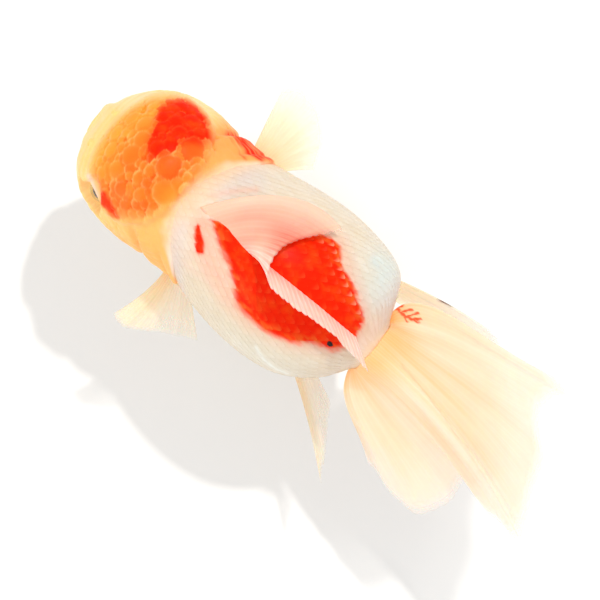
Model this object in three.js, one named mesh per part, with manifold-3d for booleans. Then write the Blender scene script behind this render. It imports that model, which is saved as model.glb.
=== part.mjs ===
// Oranda goldfish, life size, held over a low oval base by two short rods. Millimetres.
// X runs from the snout (-X) to the tail (+X), +Y is the fish's right side and +Z is up.
// The origin is the centre of the base's underside.
import * as THREE from 'three';
import { mergeVertices } from 'three/addons/utils/BufferGeometryUtils.js';
import Module from 'manifold-3d';

const wasm = await Module();
wasm.setup();

// ---------- Driving dimensions ----------

const GAP = 0.3; // clearance between neighbouring solids
const RING_SPACING = 3.1; // between the body's cross-sections

// Cross-sections of head, trunk and tail stalk along X.
const STATIONS = [
  // x, left edge y, right edge y, top z, bottom z, z of the widest level
  [-56.9, 0.8, 0.8, 80.2, 80.2, 80.2],
  [-56.3, -2.4, 4.0, 82.8, 77.4, 80.1],
  [-55.0, -6.0, 7.2, 86.0, 75.0, 80.0],
  [-53.0, -10.8, 12.0, 92.4, 71.8, 80.0],
  [-50.0, -14.2, 15.8, 98.0, 68.8, 80.0],
  [-45.0, -17.2, 20.0, 104.2, 65.4, 80.2],
  [-39.0, -19.0, 22.6, 108.0, 62.8, 80.6],
  [-31.0, -19.9, 23.6, 109.8, 60.4, 81.2],
  [-22.0, -19.3, 22.8, 108.6, 58.6, 81.8],
  [-12.0, -19.5, 22.9, 110.4, 55.6, 82.0],
  [-2.0, -22.2, 24.3, 113.6, 52.6, 82.0],
  [8.0, -23.9, 25.9, 115.0, 51.2, 82.0],
  [18.0, -24.2, 26.5, 114.0, 51.6, 82.5],
  [27.0, -22.8, 25.6, 110.8, 54.6, 83.5],
  [34.0, -19.4, 23.8, 106.8, 60.4, 85.5],
  [39.0, -15.2, 20.6, 103.4, 67.8, 87.5],
  [42.0, -11.2, 14.6, 101.4, 74.8, 89.0],
  [44.5, -7.4, 8.6, 100.2, 79.2, 90.0],
  [48.0, -4.9, 5.4, 99.4, 81.6, 90.6],
  [52.0, -2.6, 2.8, 98.2, 84.0, 91.0],
  [54.6, 0.1, 0.1, 91.2, 91.2, 91.2],
];
const SNOUT_T = 0;
const NAPE_T = 8;
const TAIL_T = STATIONS.length - 1;
const UPPER_POWER = 2.12; // superellipse power of the section above the widest level
const LOWER_POWER = 2.2;

// The hood (wen): a swollen cap of bumps on the crown, a rounded superellipse seen from above.
const HOOD = {
  middleX: -36,
  middleY: 2.6,
  halfLength: 14.3,
  halfWidth: 18.8,
  power: 2.5,
  front: -51.6,
  foot: 94.4, // level where the hood's node is cut from the cheeks, at the front
  slope: 0.16, // rise of that cut per mm towards the tail
  swell: 1.5,
  bumpRows: 7,
  bumpSpacing: 5.4,
  bumpRadius: 3.7,
  bumpHeight: 1.5,
  cheekBump: 0.8,
};

// Rear edge of the gill covers: the head's border against the trunk. It sweeps back later on the left.
const GILL_EDGE = { top: -21.6, side: -9.2, bottom: -27, sweepRight: 1.6, sweepLeft: 2.2, lift: 0.9, level: 80 };

const MOUTH_LEVEL = 77.6;
const FACE_X = -49.2; // snout and lower jaw lie in front of this
const CHEEK_X = -31.4; // gill covers lie behind this
const THROAT_LEVEL = 66;
const EYE_RADIUS = 4.1;
const EYES = { left: [-41.2, -12.4, 88.4], right: [-41.7, 16.0, 88.2] };
const ORBIT = { radius: 6.4, depth: 1.9 };

const FIN_THICKNESS = { base: 0.95, edge: 0.6 };

const STAND = {
  length: 84,
  width: 48,
  height: 6,
  bevel: 1.2,
  rodRadius: 2,
  collarRadius: 4,
  collarHeight: 2.2,
  frontX: -20,
  rearX: 26,
};

// Fin rays in order across each fin: the base, one or two bends, and the tip of each guiding ray.
const FIN_RAYS = {
  dorsal_fin: [
    [[-16.2, 0.5, 109.2], [0.4, 25, 117], [18.2, 20, 111.5]],
    [[-11.4, -0.3, 109.6], [-1.8, 16.4, 119.5], [15.4, 16.4, 114]],
    [[-6.4, -0.8, 110.4], [-1, 7.6, 121], [10.8, 10.6, 117.2]],
    [[-1.5, -1, 111.5], [1.6, 2.8, 121.5], [8.4, 4.6, 122]],
    [[3.5, -0.6, 112.4], [6, -0.2, 123], [11, -3.4, 128.5]],
    [[10, -0.2, 113], [12.6, -1.2, 122], [18, -4.8, 127]],
    [[18, 0, 112], [20.4, -1.2, 119], [25.6, -4.3, 123]],
    [[26, 0, 109.4], [28.4, -1, 115], [33.4, -3.8, 118]],
    [[33, 0, 105.4], [35.4, -1.2, 110], [41, -4.8, 111.8]],
    [[38.6, 0, 101.8], [42, -1.8, 106], [48.2, -5.6, 106.2]],
  ],
  pectoral_fin_right: [
    [[-15.6, 18.8, 70.5], [-18.6, 30.5, 70.4], [-21.2, 42.2, 66]],
    [[-14, 19, 69.2], [-15.8, 33, 70], [-16.6, 45.2, 65.4]],
    [[-12.4, 19, 68], [-10.6, 32.5, 69], [-9.2, 43.6, 65]],
    [[-11, 19, 66.8], [-6.6, 30, 67.4], [-3.2, 37.8, 64.4]],
    [[-10, 18.8, 65.8], [-4.8, 26, 65.8], [0.4, 29.6, 63.6]],
  ],
  pectoral_fin_left: [
    [[-15.4, -15.4, 70.5], [-12.6, -24, 70.4], [-18.6, -39.4, 65]],
    [[-13.8, -15.6, 69.2], [-10.4, -26, 69.6], [-13, -40, 64]],
    [[-12.2, -15.8, 68], [-7.4, -25, 68.4], [-5.6, -35.4, 63.4]],
    [[-10.8, -15.9, 66.8], [-4.4, -24, 67], [0.6, -32.2, 63]],
    [[-9.8, -15.8, 65.6], [-2.4, -22.6, 65.4], [5.4, -29.8, 62.6]],
  ],
  pelvic_fin_right: [
    [[12.5, 11, 55.6], [44, 24.6, 54], [70, 26, 60.5]],
    [[14, 10.6, 54.4], [44, 22.4, 51.5], [74.4, 24, 58.5]],
    [[15.5, 10.2, 53.6], [42, 19.6, 48.5], [66.5, 20.4, 53]],
    [[17, 9.8, 53.4], [38, 16, 46], [54, 16.4, 47.5]],
  ],
  pelvic_fin_left: [
    [[12.5, -9, 55.6], [34, -17.8, 52], [60, -40.4, 50]],
    [[14, -8.8, 54.4], [37, -18.6, 50], [57.4, -36.4, 47.4]],
    [[15.5, -8.6, 53.6], [38, -17.4, 47], [52.4, -27.6, 44.4]],
    [[17, -8.4, 53.4], [36, -14.6, 45], [46.4, -19.4, 42.4]],
  ],
  anal_fin_right: [
    [[31, 3.4, 60], [38, 6.6, 56], [52, 10, 53.6]],
    [[34.5, 3.6, 63.6], [42, 6.4, 60], [57, 9.4, 58.6]],
    [[38, 3.4, 69], [45, 5.8, 66], [56.6, 8, 65]],
  ],
  anal_fin_left: [
    [[31, -2.2, 60], [38, -5.6, 56], [52, -9.6, 53.6]],
    [[34.5, -2.4, 63.6], [42, -5.4, 60], [57, -9, 58.6]],
    [[38, -2.2, 69], [45, -4.8, 66], [56.6, -7.6, 65]],
  ],
  tail_upper_right: [
    [[46.6, 1.1, 97.6], [62, 1.2, 99.6], [84, -1.6, 99], [110.2, -12.4, 90.6]],
    [[46.8, 1.7, 95.6], [62, 4.4, 96.6], [84, 3.6, 95], [105.8, -2.2, 86.6]],
    [[46.8, 2.1, 93.6], [61, 8, 92.4], [81, 8.8, 90], [101, 7.2, 81.8]],
    [[46.6, 2.4, 91.6], [59, 11, 88.4], [77, 13.6, 85], [94.6, 15.2, 77.2]],
  ],
  tail_lower_right: [
    [[46.4, 2.6, 90.4], [58.6, 11.8, 87.2], [76, 14.6, 83.4], [93.8, 16.6, 76]],
    [[45.6, 3, 88], [53, 15.4, 82.6], [70, 17.2, 77.6], [94.4, 20.8, 70.6]],
    [[44.2, 3.6, 85.8], [44.6, 20.8, 79.6], [64.6, 19.6, 72.8], [97.4, 25.4, 64.5]],
    [[43, 4, 84], [38.6, 25, 77.4], [63, 20, 70], [91.6, 27.6, 61.6]],
  ],
  tail_upper_left: [
    [[46.6, -0.7, 97.6], [62, -0.6, 99.2], [84, -3.4, 98.4], [110.4, -14.4, 90]],
    [[46.8, -1.3, 95.6], [61, -3.2, 95.8], [82, -5.6, 94], [109, -16.6, 86.6]],
    [[46.8, -1.7, 93.6], [60, -5.4, 91.6], [78, -7.6, 89.4], [101.4, -14.8, 81.6]],
    [[46.6, -2, 91.6], [59, -6.8, 88], [74, -8.2, 85.6], [91, -11.6, 78.6]],
  ],
  tail_lower_left: [
    [[46.4, -2.2, 90.4], [58.6, -7.4, 86.8], [73.6, -9.4, 84.2], [90.8, -12.6, 77.2]],
    [[45.6, -2.6, 88], [52, -12, 82.6], [68, -13.8, 78], [90.8, -20.6, 70.6]],
    [[44.4, -3, 85.6], [47, -16.6, 79], [63, -17.4, 73.6], [85.4, -28.4, 65.4]],
    [[43.8, -3, 84.6], [44.6, -18.6, 77.6], [59.4, -18, 71.4], [76, -29.2, 63.6]],
    [[43.4, -3, 83.8], [43.4, -19, 77], [56, -18, 70], [66, -26.2, 64]],
  ],
};

const COLOURS = {
  hood: [0xf98a2e, 0.45],
  face: [0xfbc765, 0.42],
  gill: [0xf7a548, 0.4],
  body: [0xf6efe6, 0.3],
  fin: [0xf9dca6, 0.4],
  eye: [0x2a2320, 0.1],
  stand: [0xf1f0ec, 0.5],
};

// ---------- Curves and closed meshes ----------

// Catmull-Rom value between p1 and p2.
function blend(p0, p1, p2, p3, f) {
  const a = 2 * p1;
  const b = p2 - p0;
  const c = 2 * p0 - 5 * p1 + 4 * p2 - p3;
  const d = 3 * p1 - p0 - 3 * p2 + p3;
  return 0.5 * (a + b * f + c * f * f + d * f * f * f);
}

// The station before the snout and the one after the tail mirror their neighbours, which rounds the ends.
function stationAt(index) {
  const last = STATIONS.length - 1;
  if (index >= 0 && index <= last) {
    return STATIONS[index];
  }
  const near = STATIONS[index < 0 ? 1 : last - 1];
  const [x, left, right, top, bottom, widest] = near;
  return [x, right, left, bottom, top, widest];
}

function section(t) {
  const i = Math.min(Math.floor(t), STATIONS.length - 2);
  const around = [stationAt(i - 1), stationAt(i), stationAt(i + 1), stationAt(i + 2)];
  const value = (k) => blend(around[0][k], around[1][k], around[2][k], around[3][k], t - i);
  return { x: value(0), left: value(1), right: value(2), top: value(3), bottom: value(4), widest: value(5) };
}

const signedPower = (value, power) => Math.sign(value) * Math.pow(Math.abs(value), power);

// Point and outward direction of the bare body at station t and angle a (0 = right side, 90 deg = back).
function bodyPoint(t, a) {
  const s = section(t);
  const power = Math.sin(a) >= 0 ? UPPER_POWER : LOWER_POWER;
  const rise = Math.sin(a) >= 0 ? s.top - s.widest : s.widest - s.bottom;
  const half = (s.right - s.left) / 2;
  const across = signedPower(Math.cos(a), 2 / power);
  const up = signedPower(Math.sin(a), 2 / power);
  const point = new THREE.Vector3(s.x, (s.right + s.left) / 2 + half * across, s.widest + rise * up);
  const out = new THREE.Vector3(0, Math.cos(a) / Math.max(half, 0.5), Math.sin(a) / Math.max(rise, 0.5));
  return { point, out: out.normalize() };
}

const smoothstep = THREE.MathUtils.smoothstep;

// X of the gill covers' rear edge at angle a.
function gillEdge(a) {
  const sweep = Math.cos(a) > 0 ? GILL_EDGE.sweepRight : GILL_EDGE.sweepLeft;
  const side = Math.pow(Math.abs(Math.cos(a)), sweep);
  const end = Math.sin(a) > 0 ? GILL_EDGE.top : GILL_EDGE.bottom;
  return end + (GILL_EDGE.side - end) * side;
}

// Share of the hood at a point: 1 on the cap, 0 outside its outline and below the cheeks' level.
function hoodShare(p) {
  const along = Math.pow(Math.abs(p.x - HOOD.middleX) / HOOD.halfLength, HOOD.power);
  const across = Math.pow(Math.abs(p.y - HOOD.middleY) / HOOD.halfWidth, HOOD.power);
  const reach = Math.pow(along + across, 1 / HOOD.power);
  return (1 - smoothstep(reach, 0.9, 1.06)) * smoothstep(p.z, 86, 91);
}

function makeBumps() {
  const bumps = [];
  for (let i = 0; i < HOOD.bumpRows; i += 1) {
    const t = 3.7 + (i * (NAPE_T - 3.9)) / (HOOD.bumpRows - 1);
    const s = section(t);
    const arc = (s.right - s.left) * 1.9;
    const columns = Math.round(arc / HOOD.bumpSpacing);
    for (let j = 0; j <= columns; j += 1) {
      const sway = Math.sin(12.9 * i + 7.3 * j);
      const a = THREE.MathUtils.degToRad(-32 + (244 * (j + 0.5 * (i % 2) + 0.22 * sway)) / columns);
      const size = 0.78 + 0.22 * Math.sin(5.1 * i + 3.7 * j);
      const tt = Math.min(t + 0.16 * Math.sin(3.3 * i + 9.1 * j), NAPE_T);
      bumps.push({ centre: bodyPoint(tt, a).point, radius: HOOD.bumpRadius * (0.85 + 0.3 * size) });
    }
  }
  return bumps;
}

const BUMPS = makeBumps();

function bumpAt(p) {
  let best = 0;
  for (const bump of BUMPS) {
    const d = bump.centre.distanceTo(p) / bump.radius;
    if (d < 1) {
      best = Math.max(best, Math.sqrt(1 - d * d));
    }
  }
  return best;
}

// Height of the head's relief over the bare body: hood, cheeks, gill covers and eye hollows.
function headRelief(p, a) {
  const hood = hoodShare(p);
  const bump = bumpAt(p);
  const cheek = smoothstep(p.z, 68, 76) * smoothstep(p.x, -53, -46) * (1 - smoothstep(p.x, -26, -22));
  const cover = smoothstep(p.x, -34, -24) * GILL_EDGE.lift * (1 - smoothstep(p.z, 98, 106));
  let height = hood * (HOOD.swell + HOOD.bumpHeight * bump);
  height += (1 - hood) * cheek * HOOD.cheekBump * bump + cover * (1 - hood);
  for (const eye of Object.values(EYES)) {
    const sideways = Math.sign(eye[1]) * Math.cos(a);
    const d = Math.hypot(p.x - eye[0], p.z - eye[2]) / ORBIT.radius;
    if (sideways > 0 && d < 1) {
      height -= (ORBIT.depth + height) * (1 - d * d) * (1 - hood);
    }
  }
  return height;
}

// Closed surface from rings of points, with a single point before and after them.
function capped(rings, first, last) {
  const count = rings[0].length;
  const points = [first, ...rings.flat(), last];
  const faces = [];
  const at = (ring, k) => 1 + ring * count + (k % count);
  for (let k = 0; k < count; k += 1) {
    faces.push(0, at(0, k + 1), at(0, k));
    faces.push(points.length - 1, at(rings.length - 1, k), at(rings.length - 1, k + 1));
    for (let ring = 0; ring < rings.length - 1; ring += 1) {
      faces.push(at(ring, k), at(ring, k + 1), at(ring + 1, k));
      faces.push(at(ring, k + 1), at(ring + 1, k + 1), at(ring + 1, k));
    }
  }
  return geometryOf(points, faces);
}

function geometryOf(points, faces) {
  const geometry = new THREE.BufferGeometry();
  geometry.setAttribute('position', new THREE.Float32BufferAttribute(points.flatMap((p) => [p.x, p.y, p.z]), 3));
  geometry.setIndex(faces);
  return geometry;
}

// Body surface between two stations, with height(point, angle) added outwards. Each interval between
// stations has several rings of points where it is long, and one near the snout.
function bodyLoft(from, to, sides, height) {
  const places = [];
  for (let i = from; i < to; i += 1) {
    const long = STATIONS[i + 1][0] - STATIONS[i][0];
    const rings = Math.max(1, Math.round(long / RING_SPACING));
    for (let k = 0; k < rings; k += 1) {
      places.push(i + k / rings);
    }
  }
  const rings = [];
  for (const t of places.slice(1)) {
    const ring = [];
    for (let k = 0; k < sides; k += 1) {
      const a = (2 * Math.PI * k) / sides;
      const { point, out } = bodyPoint(t, a);
      ring.push(point.clone().addScaledVector(out, height(point, a)));
    }
    rings.push(ring);
  }
  const end = (t) => {
    const s = section(t);
    return new THREE.Vector3(s.x, (s.left + s.right) / 2, s.widest);
  };
  return capped(rings, end(from), end(to));
}

// Thin sheet through guiding rays, each a Bezier curve from base to tip.
function finSheet(rays, stepsAlong, stepsAcross) {
  const clampRay = (k) => rays[Math.min(Math.max(k, 0), rays.length - 1)];
  const guide = (k, part, axis) => clampRay(k)[part][axis];
  const place = (u, v) => {
    const position = v * (rays.length - 1);
    const i = Math.min(Math.floor(position), rays.length - 2);
    const mixed = rays[0].map((_, part) => [0, 1, 2].map((axis) => {
      const near = [i - 1, i, i + 1, i + 2].map((k) => guide(k, part, axis));
      return blend(near[0], near[1], near[2], near[3], position - i);
    }));
    const Curve = mixed.length === 3 ? THREE.QuadraticBezierCurve3 : THREE.CubicBezierCurve3;
    return new Curve(...mixed.map((p) => new THREE.Vector3(...p))).getPoint(u);
  };
  const normal = (u, v) => {
    const step = 0.01;
    const along = place(Math.min(u + step, 1), v).sub(place(Math.max(u - step, 0), v));
    const across = place(u, Math.min(v + step, 1)).sub(place(u, Math.max(v - step, 0)));
    return along.cross(across).normalize();
  };
  const points = [];
  for (const side of [0.5, -0.5]) {
    for (let i = 0; i <= stepsAlong; i += 1) {
      for (let j = 0; j <= stepsAcross; j += 1) {
        const u = i / stepsAlong;
        const v = j / stepsAcross;
        const thickness = THREE.MathUtils.lerp(FIN_THICKNESS.base, FIN_THICKNESS.edge, u);
        points.push(place(u, v).addScaledVector(normal(u, v), side * thickness));
      }
    }
  }
  const width = stepsAcross + 1;
  const layer = width * (stepsAlong + 1);
  const at = (side, i, j) => side * layer + i * width + j;
  const faces = [];
  const quad = (a, b, c, d) => faces.push(a, b, c, a, c, d);
  for (let i = 0; i < stepsAlong; i += 1) {
    for (let j = 0; j < stepsAcross; j += 1) {
      quad(at(0, i, j), at(0, i + 1, j), at(0, i + 1, j + 1), at(0, i, j + 1));
      quad(at(1, i, j), at(1, i, j + 1), at(1, i + 1, j + 1), at(1, i + 1, j));
    }
    quad(at(0, i, 0), at(1, i, 0), at(1, i + 1, 0), at(0, i + 1, 0));
    quad(at(0, i + 1, stepsAcross), at(1, i + 1, stepsAcross), at(1, i, stepsAcross), at(0, i, stepsAcross));
  }
  for (let j = 0; j < stepsAcross; j += 1) {
    quad(at(0, 0, j + 1), at(1, 0, j + 1), at(1, 0, j), at(0, 0, j));
    quad(at(0, stepsAlong, j), at(1, stepsAlong, j), at(1, stepsAlong, j + 1), at(0, stepsAlong, j + 1));
  }
  return geometryOf(points, faces);
}

// ---------- Joining and cutting ----------

function solidOf(geometry) {
  const bare = geometry.clone();
  bare.deleteAttribute('normal');
  bare.deleteAttribute('uv');
  const merged = mergeVertices(bare, 1e-4);
  const mesh = new wasm.Mesh({
    numProp: 3,
    vertProperties: new Float32Array(merged.attributes.position.array),
    triVerts: new Uint32Array(merged.index.array),
  });
  return new wasm.Manifold(mesh);
}

function geometryFrom(solid) {
  const mesh = solid.getMesh();
  const geometry = new THREE.BufferGeometry();
  geometry.setAttribute('position', new THREE.BufferAttribute(new Float32Array(mesh.vertProperties), 3));
  geometry.setIndex(new THREE.BufferAttribute(new Uint32Array(mesh.triVerts), 1));
  geometry.computeVertexNormals();
  return geometry;
}

function boxSolid(low, high) {
  const size = high.map((value, k) => value - low[k]);
  const box = new THREE.BoxGeometry(...size);
  box.translate(...low.map((value, k) => value + size[k] / 2));
  return solidOf(box);
}

function ballSolid(centre, radius, detail) {
  const ball = new THREE.IcosahedronGeometry(radius, detail);
  ball.translate(...centre);
  return solidOf(ball);
}

// Everything in front of the gill covers' edge, moved back by extra.
function headSide(extra) {
  const sides = 36;
  const reaches = [5, 12, 19, 60];
  const middle = section(NAPE_T);
  const centre = new THREE.Vector3(GILL_EDGE.top + extra - 1, (middle.left + middle.right) / 2, GILL_EDGE.level);
  const rings = reaches.map((reach) => {
    const ring = [];
    for (let k = 0; k < sides; k += 1) {
      const a = (2 * Math.PI * k) / sides;
      const x = THREE.MathUtils.lerp(centre.x, gillEdge(a) + extra, smoothstep(reach, 4, 19));
      ring.push(new THREE.Vector3(x, centre.y + reach * Math.cos(a), centre.z + reach * Math.sin(a)));
    }
    return ring;
  });
  const front = rings[rings.length - 1].map((p) => new THREE.Vector3(-90, p.y, p.z));
  rings.push(front);
  return solidOf(capped(rings.reverse(), new THREE.Vector3(-90, centre.y, centre.z), centre));
}

// ---------- Head ----------

// Everything above the hood's foot, moved up by extra.
function hoodBlock(extra) {
  const slab = new THREE.BoxGeometry(150, 120, 60);
  slab.translate(0, 0, 30);
  slab.rotateY(-Math.atan(HOOD.slope));
  slab.translate(HOOD.front, 0, HOOD.foot + extra);
  return solidOf(slab);
}

const headLoft = solidOf(bodyLoft(SNOUT_T, NAPE_T + 2, 44, headRelief));
const trunkLoft = solidOf(bodyLoft(5, TAIL_T, 32, () => 0));
const head = headLoft.intersect(headSide(0));
const trunkWhole = trunkLoft.subtract(headSide(GAP));

const sockets = Object.values(EYES).map((centre) => ballSolid(centre, EYE_RADIUS + GAP, 2));
const hollowHead = sockets.reduce((rest, socket) => rest.subtract(socket), head);
const middleY = 1.5;
const far = 90;
const hood = hollowHead.intersect(hoodBlock(0));
const face = hollowHead.subtract(hoodBlock(-GAP));
const solids = {};
solids.hood = hood;
solids.snout = face.intersect(boxSolid([-far, -far, MOUTH_LEVEL], [FACE_X, far, 130]));
solids.lower_jaw = face.intersect(boxSolid([-far, -far, 0], [FACE_X, far, MOUTH_LEVEL - GAP]));
const cheeks = face.intersect(boxSolid([FACE_X + GAP, -far, THROAT_LEVEL], [CHEEK_X, far, 130]));
const covers = face.intersect(boxSolid([CHEEK_X + GAP, -far, THROAT_LEVEL], [20, far, 130]));
solids.throat = face.intersect(boxSolid([FACE_X + GAP, -far, 0], [20, far, THROAT_LEVEL - GAP]));
const leftHalf = boxSolid([-far, -far, 0], [far, middleY - GAP / 2, 200]);
const rightHalf = boxSolid([-far, middleY + GAP / 2, 0], [far, far, 200]);
solids.cheek_left = cheeks.intersect(leftHalf);
solids.cheek_right = cheeks.intersect(rightHalf);
solids.gill_cover_left = covers.intersect(leftHalf);
solids.gill_cover_right = covers.intersect(rightHalf);
solids.eye_left = ballSolid(EYES.left, EYE_RADIUS, 2);
solids.eye_right = ballSolid(EYES.right, EYE_RADIUS, 2);

// ---------- Trunk and tail stalk ----------

const STALK_X = 42.4;
solids.trunk = trunkWhole.intersect(boxSolid([-far, -far, 0], [STALK_X, far, 200]));
solids.tail_stalk = trunkWhole.intersect(boxSolid([STALK_X + GAP, -far, 0], [far, far, 200]));

// ---------- Fins ----------

const headCleared = solidOf(bodyLoft(SNOUT_T, NAPE_T + 2, 44, (p, a) => headRelief(p, a) + GAP));
const trunkCleared = solidOf(bodyLoft(5, TAIL_T, 32, () => GAP));
const cleared = headCleared.intersect(headSide(GAP)).add(trunkCleared);
const FIN_STEPS = {
  dorsal_fin: [5, 18],
  pectoral_fin_left: [6, 6],
  pectoral_fin_right: [6, 6],
  pelvic_fin_left: [7, 3],
  pelvic_fin_right: [7, 3],
  anal_fin_left: [4, 3],
  anal_fin_right: [4, 3],
};
for (const [name, rays] of Object.entries(FIN_RAYS)) {
  const [along, across] = FIN_STEPS[name] ?? [8, 5];
  solids[name] = solidOf(finSheet(rays, along, across)).subtract(cleared);
}

// ---------- Stand ----------

function standBase() {
  const { length, width, height, bevel } = STAND;
  const radius = length / 2;
  const profile = [
    [0, 0],
    [radius - bevel * 0.5, 0],
    [radius, bevel * 0.5],
    [radius, height - bevel],
    [radius - bevel, height],
    [0, height],
  ];
  const plate = new THREE.LatheGeometry(profile.map(([r, z]) => new THREE.Vector2(r, z)), 44);
  plate.rotateX(Math.PI / 2);
  plate.scale(1, width / length, 1);
  return solidOf(plate);
}

function standRod(x) {
  const { rodRadius, collarRadius, collarHeight, height } = STAND;
  const low = height + GAP;
  const profile = [
    [0, low],
    [collarRadius, low],
    [collarRadius, low + collarHeight * 0.7],
    [collarRadius * 0.85, low + collarHeight],
    [rodRadius, low + collarHeight],
    [rodRadius, 70],
    [0, 70],
  ];
  const rod = new THREE.LatheGeometry(profile.map(([r, z]) => new THREE.Vector2(r, z)), 16);
  rod.rotateX(Math.PI / 2);
  rod.translate(x, 0, 0);
  return solidOf(rod).subtract(cleared);
}

solids.stand_base = standBase();
solids.stand_rod_front = standRod(STAND.frontX);
solids.stand_rod_rear = standRod(STAND.rearX);

// ---------- The model ----------

const LOOKS = {
  hood: 'hood',
  snout: 'face',
  lower_jaw: 'face',
  cheek_left: 'face',
  cheek_right: 'face',
  throat: 'face',
  gill_cover_left: 'gill',
  gill_cover_right: 'gill',
  eye_left: 'eye',
  eye_right: 'eye',
  trunk: 'body',
  tail_stalk: 'body',
};

function lookOf(name) {
  if (name.startsWith('stand_')) {
    return 'stand';
  }
  return LOOKS[name] ?? 'fin';
}

const model = new THREE.Group();
for (const [name, solid] of Object.entries(solids)) {
  const [color, roughness] = COLOURS[lookOf(name)];
  const material = new THREE.MeshStandardMaterial({ color, roughness, metalness: 0 });
  const mesh = new THREE.Mesh(geometryFrom(solid), material);
  mesh.name = name;
  model.add(mesh);
}

export default model;
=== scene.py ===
import math

import bpy
import numpy as np
from mathutils import Matrix, Vector


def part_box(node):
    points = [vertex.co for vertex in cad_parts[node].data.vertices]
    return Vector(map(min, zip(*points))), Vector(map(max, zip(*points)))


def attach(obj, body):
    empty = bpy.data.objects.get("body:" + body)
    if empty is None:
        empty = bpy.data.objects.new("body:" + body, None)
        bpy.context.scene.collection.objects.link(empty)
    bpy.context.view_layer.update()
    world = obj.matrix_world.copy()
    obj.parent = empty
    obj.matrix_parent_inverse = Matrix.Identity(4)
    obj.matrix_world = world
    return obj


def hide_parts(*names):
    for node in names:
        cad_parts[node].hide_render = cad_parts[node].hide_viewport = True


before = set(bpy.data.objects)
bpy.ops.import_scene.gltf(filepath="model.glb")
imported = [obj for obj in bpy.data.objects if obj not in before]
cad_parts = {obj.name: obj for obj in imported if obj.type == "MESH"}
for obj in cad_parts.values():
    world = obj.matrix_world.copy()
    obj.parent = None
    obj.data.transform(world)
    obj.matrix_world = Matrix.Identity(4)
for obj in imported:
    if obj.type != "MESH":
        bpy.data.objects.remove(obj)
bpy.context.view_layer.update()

MM = 0.001
TURN = 2 * math.pi

# ---------- Driving dimensions ----------

# Cross-sections of head, trunk and tail stalk.
STATIONS = np.array([
    # x, left edge y, right edge y, top z, bottom z, z of the widest level
    [-56.9, 0.8, 0.8, 80.2, 80.2, 80.2],
    [-56.3, -2.4, 4.0, 82.8, 77.4, 80.1],
    [-55.0, -6.0, 7.2, 86.0, 75.0, 80.0],
    [-53.0, -10.8, 12.0, 92.4, 71.8, 80.0],
    [-50.0, -14.2, 15.8, 98.0, 68.8, 80.0],
    [-45.0, -17.2, 20.0, 104.2, 65.4, 80.2],
    [-39.0, -19.0, 22.6, 108.0, 62.8, 80.6],
    [-31.0, -19.9, 23.6, 109.8, 60.4, 81.2],
    [-22.0, -19.3, 22.8, 108.6, 58.6, 81.8],
    [-12.0, -19.5, 22.9, 110.4, 55.6, 82.0],
    [-2.0, -22.2, 24.3, 113.6, 52.6, 82.0],
    [8.0, -23.9, 25.9, 115.0, 51.2, 82.0],
    [18.0, -24.2, 26.5, 114.0, 51.6, 82.5],
    [27.0, -22.8, 25.6, 110.8, 54.6, 83.5],
    [34.0, -19.4, 23.8, 106.8, 60.4, 85.5],
    [39.0, -15.2, 20.6, 103.4, 67.8, 87.5],
    [42.0, -11.2, 14.6, 101.4, 74.8, 89.0],
    [44.5, -7.4, 8.6, 100.2, 79.2, 90.0],
    [48.0, -4.9, 5.4, 99.4, 81.6, 90.6],
    [52.0, -2.6, 2.8, 98.2, 84.0, 91.0],
    [54.6, 0.1, 0.1, 91.2, 91.2, 91.2],
])
NAPE_T = 8
TAIL_T = len(STATIONS) - 1
UPPER_POWER = 2.12
LOWER_POWER = 2.2
AXIS_Y, AXIS_Z = 1.5, 82.0  # angles round the body are measured about this line

# The hood's outline from above is a rounded superellipse.
CROWN_MIDDLE = (-36.0, 2.6)
CROWN_HALF = (14.3, 18.8)
CROWN_POWER = 2.5
HOOD_POWER = 2.2  # of the outline in which the hood's own colour fades out
HOOD_SWELL = 1.5
BUMP_HEIGHT = 1.5
CHEEK_BUMP = 1.15

GILL_TOP = -21.6
GILL_SIDE = -9.2
GILL_BOTTOM = -27.0
GILL_SWEEP = (1.6, 2.2)  # right and left
GILL_LIFT = 0.8
GILL_GROOVE = 11.4  # distance along X of the groove ahead of each gill cover from its free edge
GILL_MARGIN = 2.7  # and of its rolled margin

MOUTH_LEVEL = 77.6
MOUTH_HALF_WIDTH = 4.6
FACE_MIDDLE_Y = 0.8
SNOUT_FOLD = ((-58.0, 9.4), (-52.0, 7.4))  # in plan, between the snout and the right cheek
SNOUT_SINK = 0.75  # the bare snout lies this far in, to leave room for the lips

COAT = 0.17  # depth of the scales: the skin under them lies this far inside the solids
STALK_DRAW = 0.8  # share by which the tail stalk's end draws in under the tail fin's base
SKIN_AROUND = 376
HEAD_RINGS = 190
TRUNK_RINGS = 50

# The view from straight above: the row's +X runs to the lower right of the picture.
CAMERA_AT = (20.9, -2.0, 888.0)
PICTURE_RIGHT = (0.777, 0.63, 0.0)
FRAME_WIDTH = 168.0  # width of the picture at the fish's middle level
VIEW_DISTANCE = 800.0
SENSOR = 36.0


def rgb(red, green, blue):
    """Scene-linear colour from 0-255 display values."""
    values = np.array([red, green, blue]) / 255
    linear = np.where(values <= 0.04045, values / 12.92, ((values + 0.055) / 1.055) ** 2.4)
    return (*[float(v) for v in linear], 1.0)


def put_in_scene(name, data):
    made = bpy.data.objects.new(name, data)
    bpy.context.scene.collection.objects.link(made)
    return made


# ---------- Camera ----------

def make_camera():
    right = Vector(PICTURE_RIGHT).normalized()
    up = Vector((-right.y, right.x, 0))
    turn = Matrix((right, up, Vector((0, 0, 1)))).transposed()
    data = bpy.data.cameras.new("camera")
    data.sensor_width = SENSOR
    data.lens = SENSOR * VIEW_DISTANCE / FRAME_WIDTH
    data.clip_start = 0.01
    camera = put_in_scene("camera", data)
    camera.matrix_world = Matrix.Translation(Vector(CAMERA_AT) * MM) @ turn.to_4x4()
    bpy.context.scene.camera = camera


# ---------- Number helpers ----------

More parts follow.
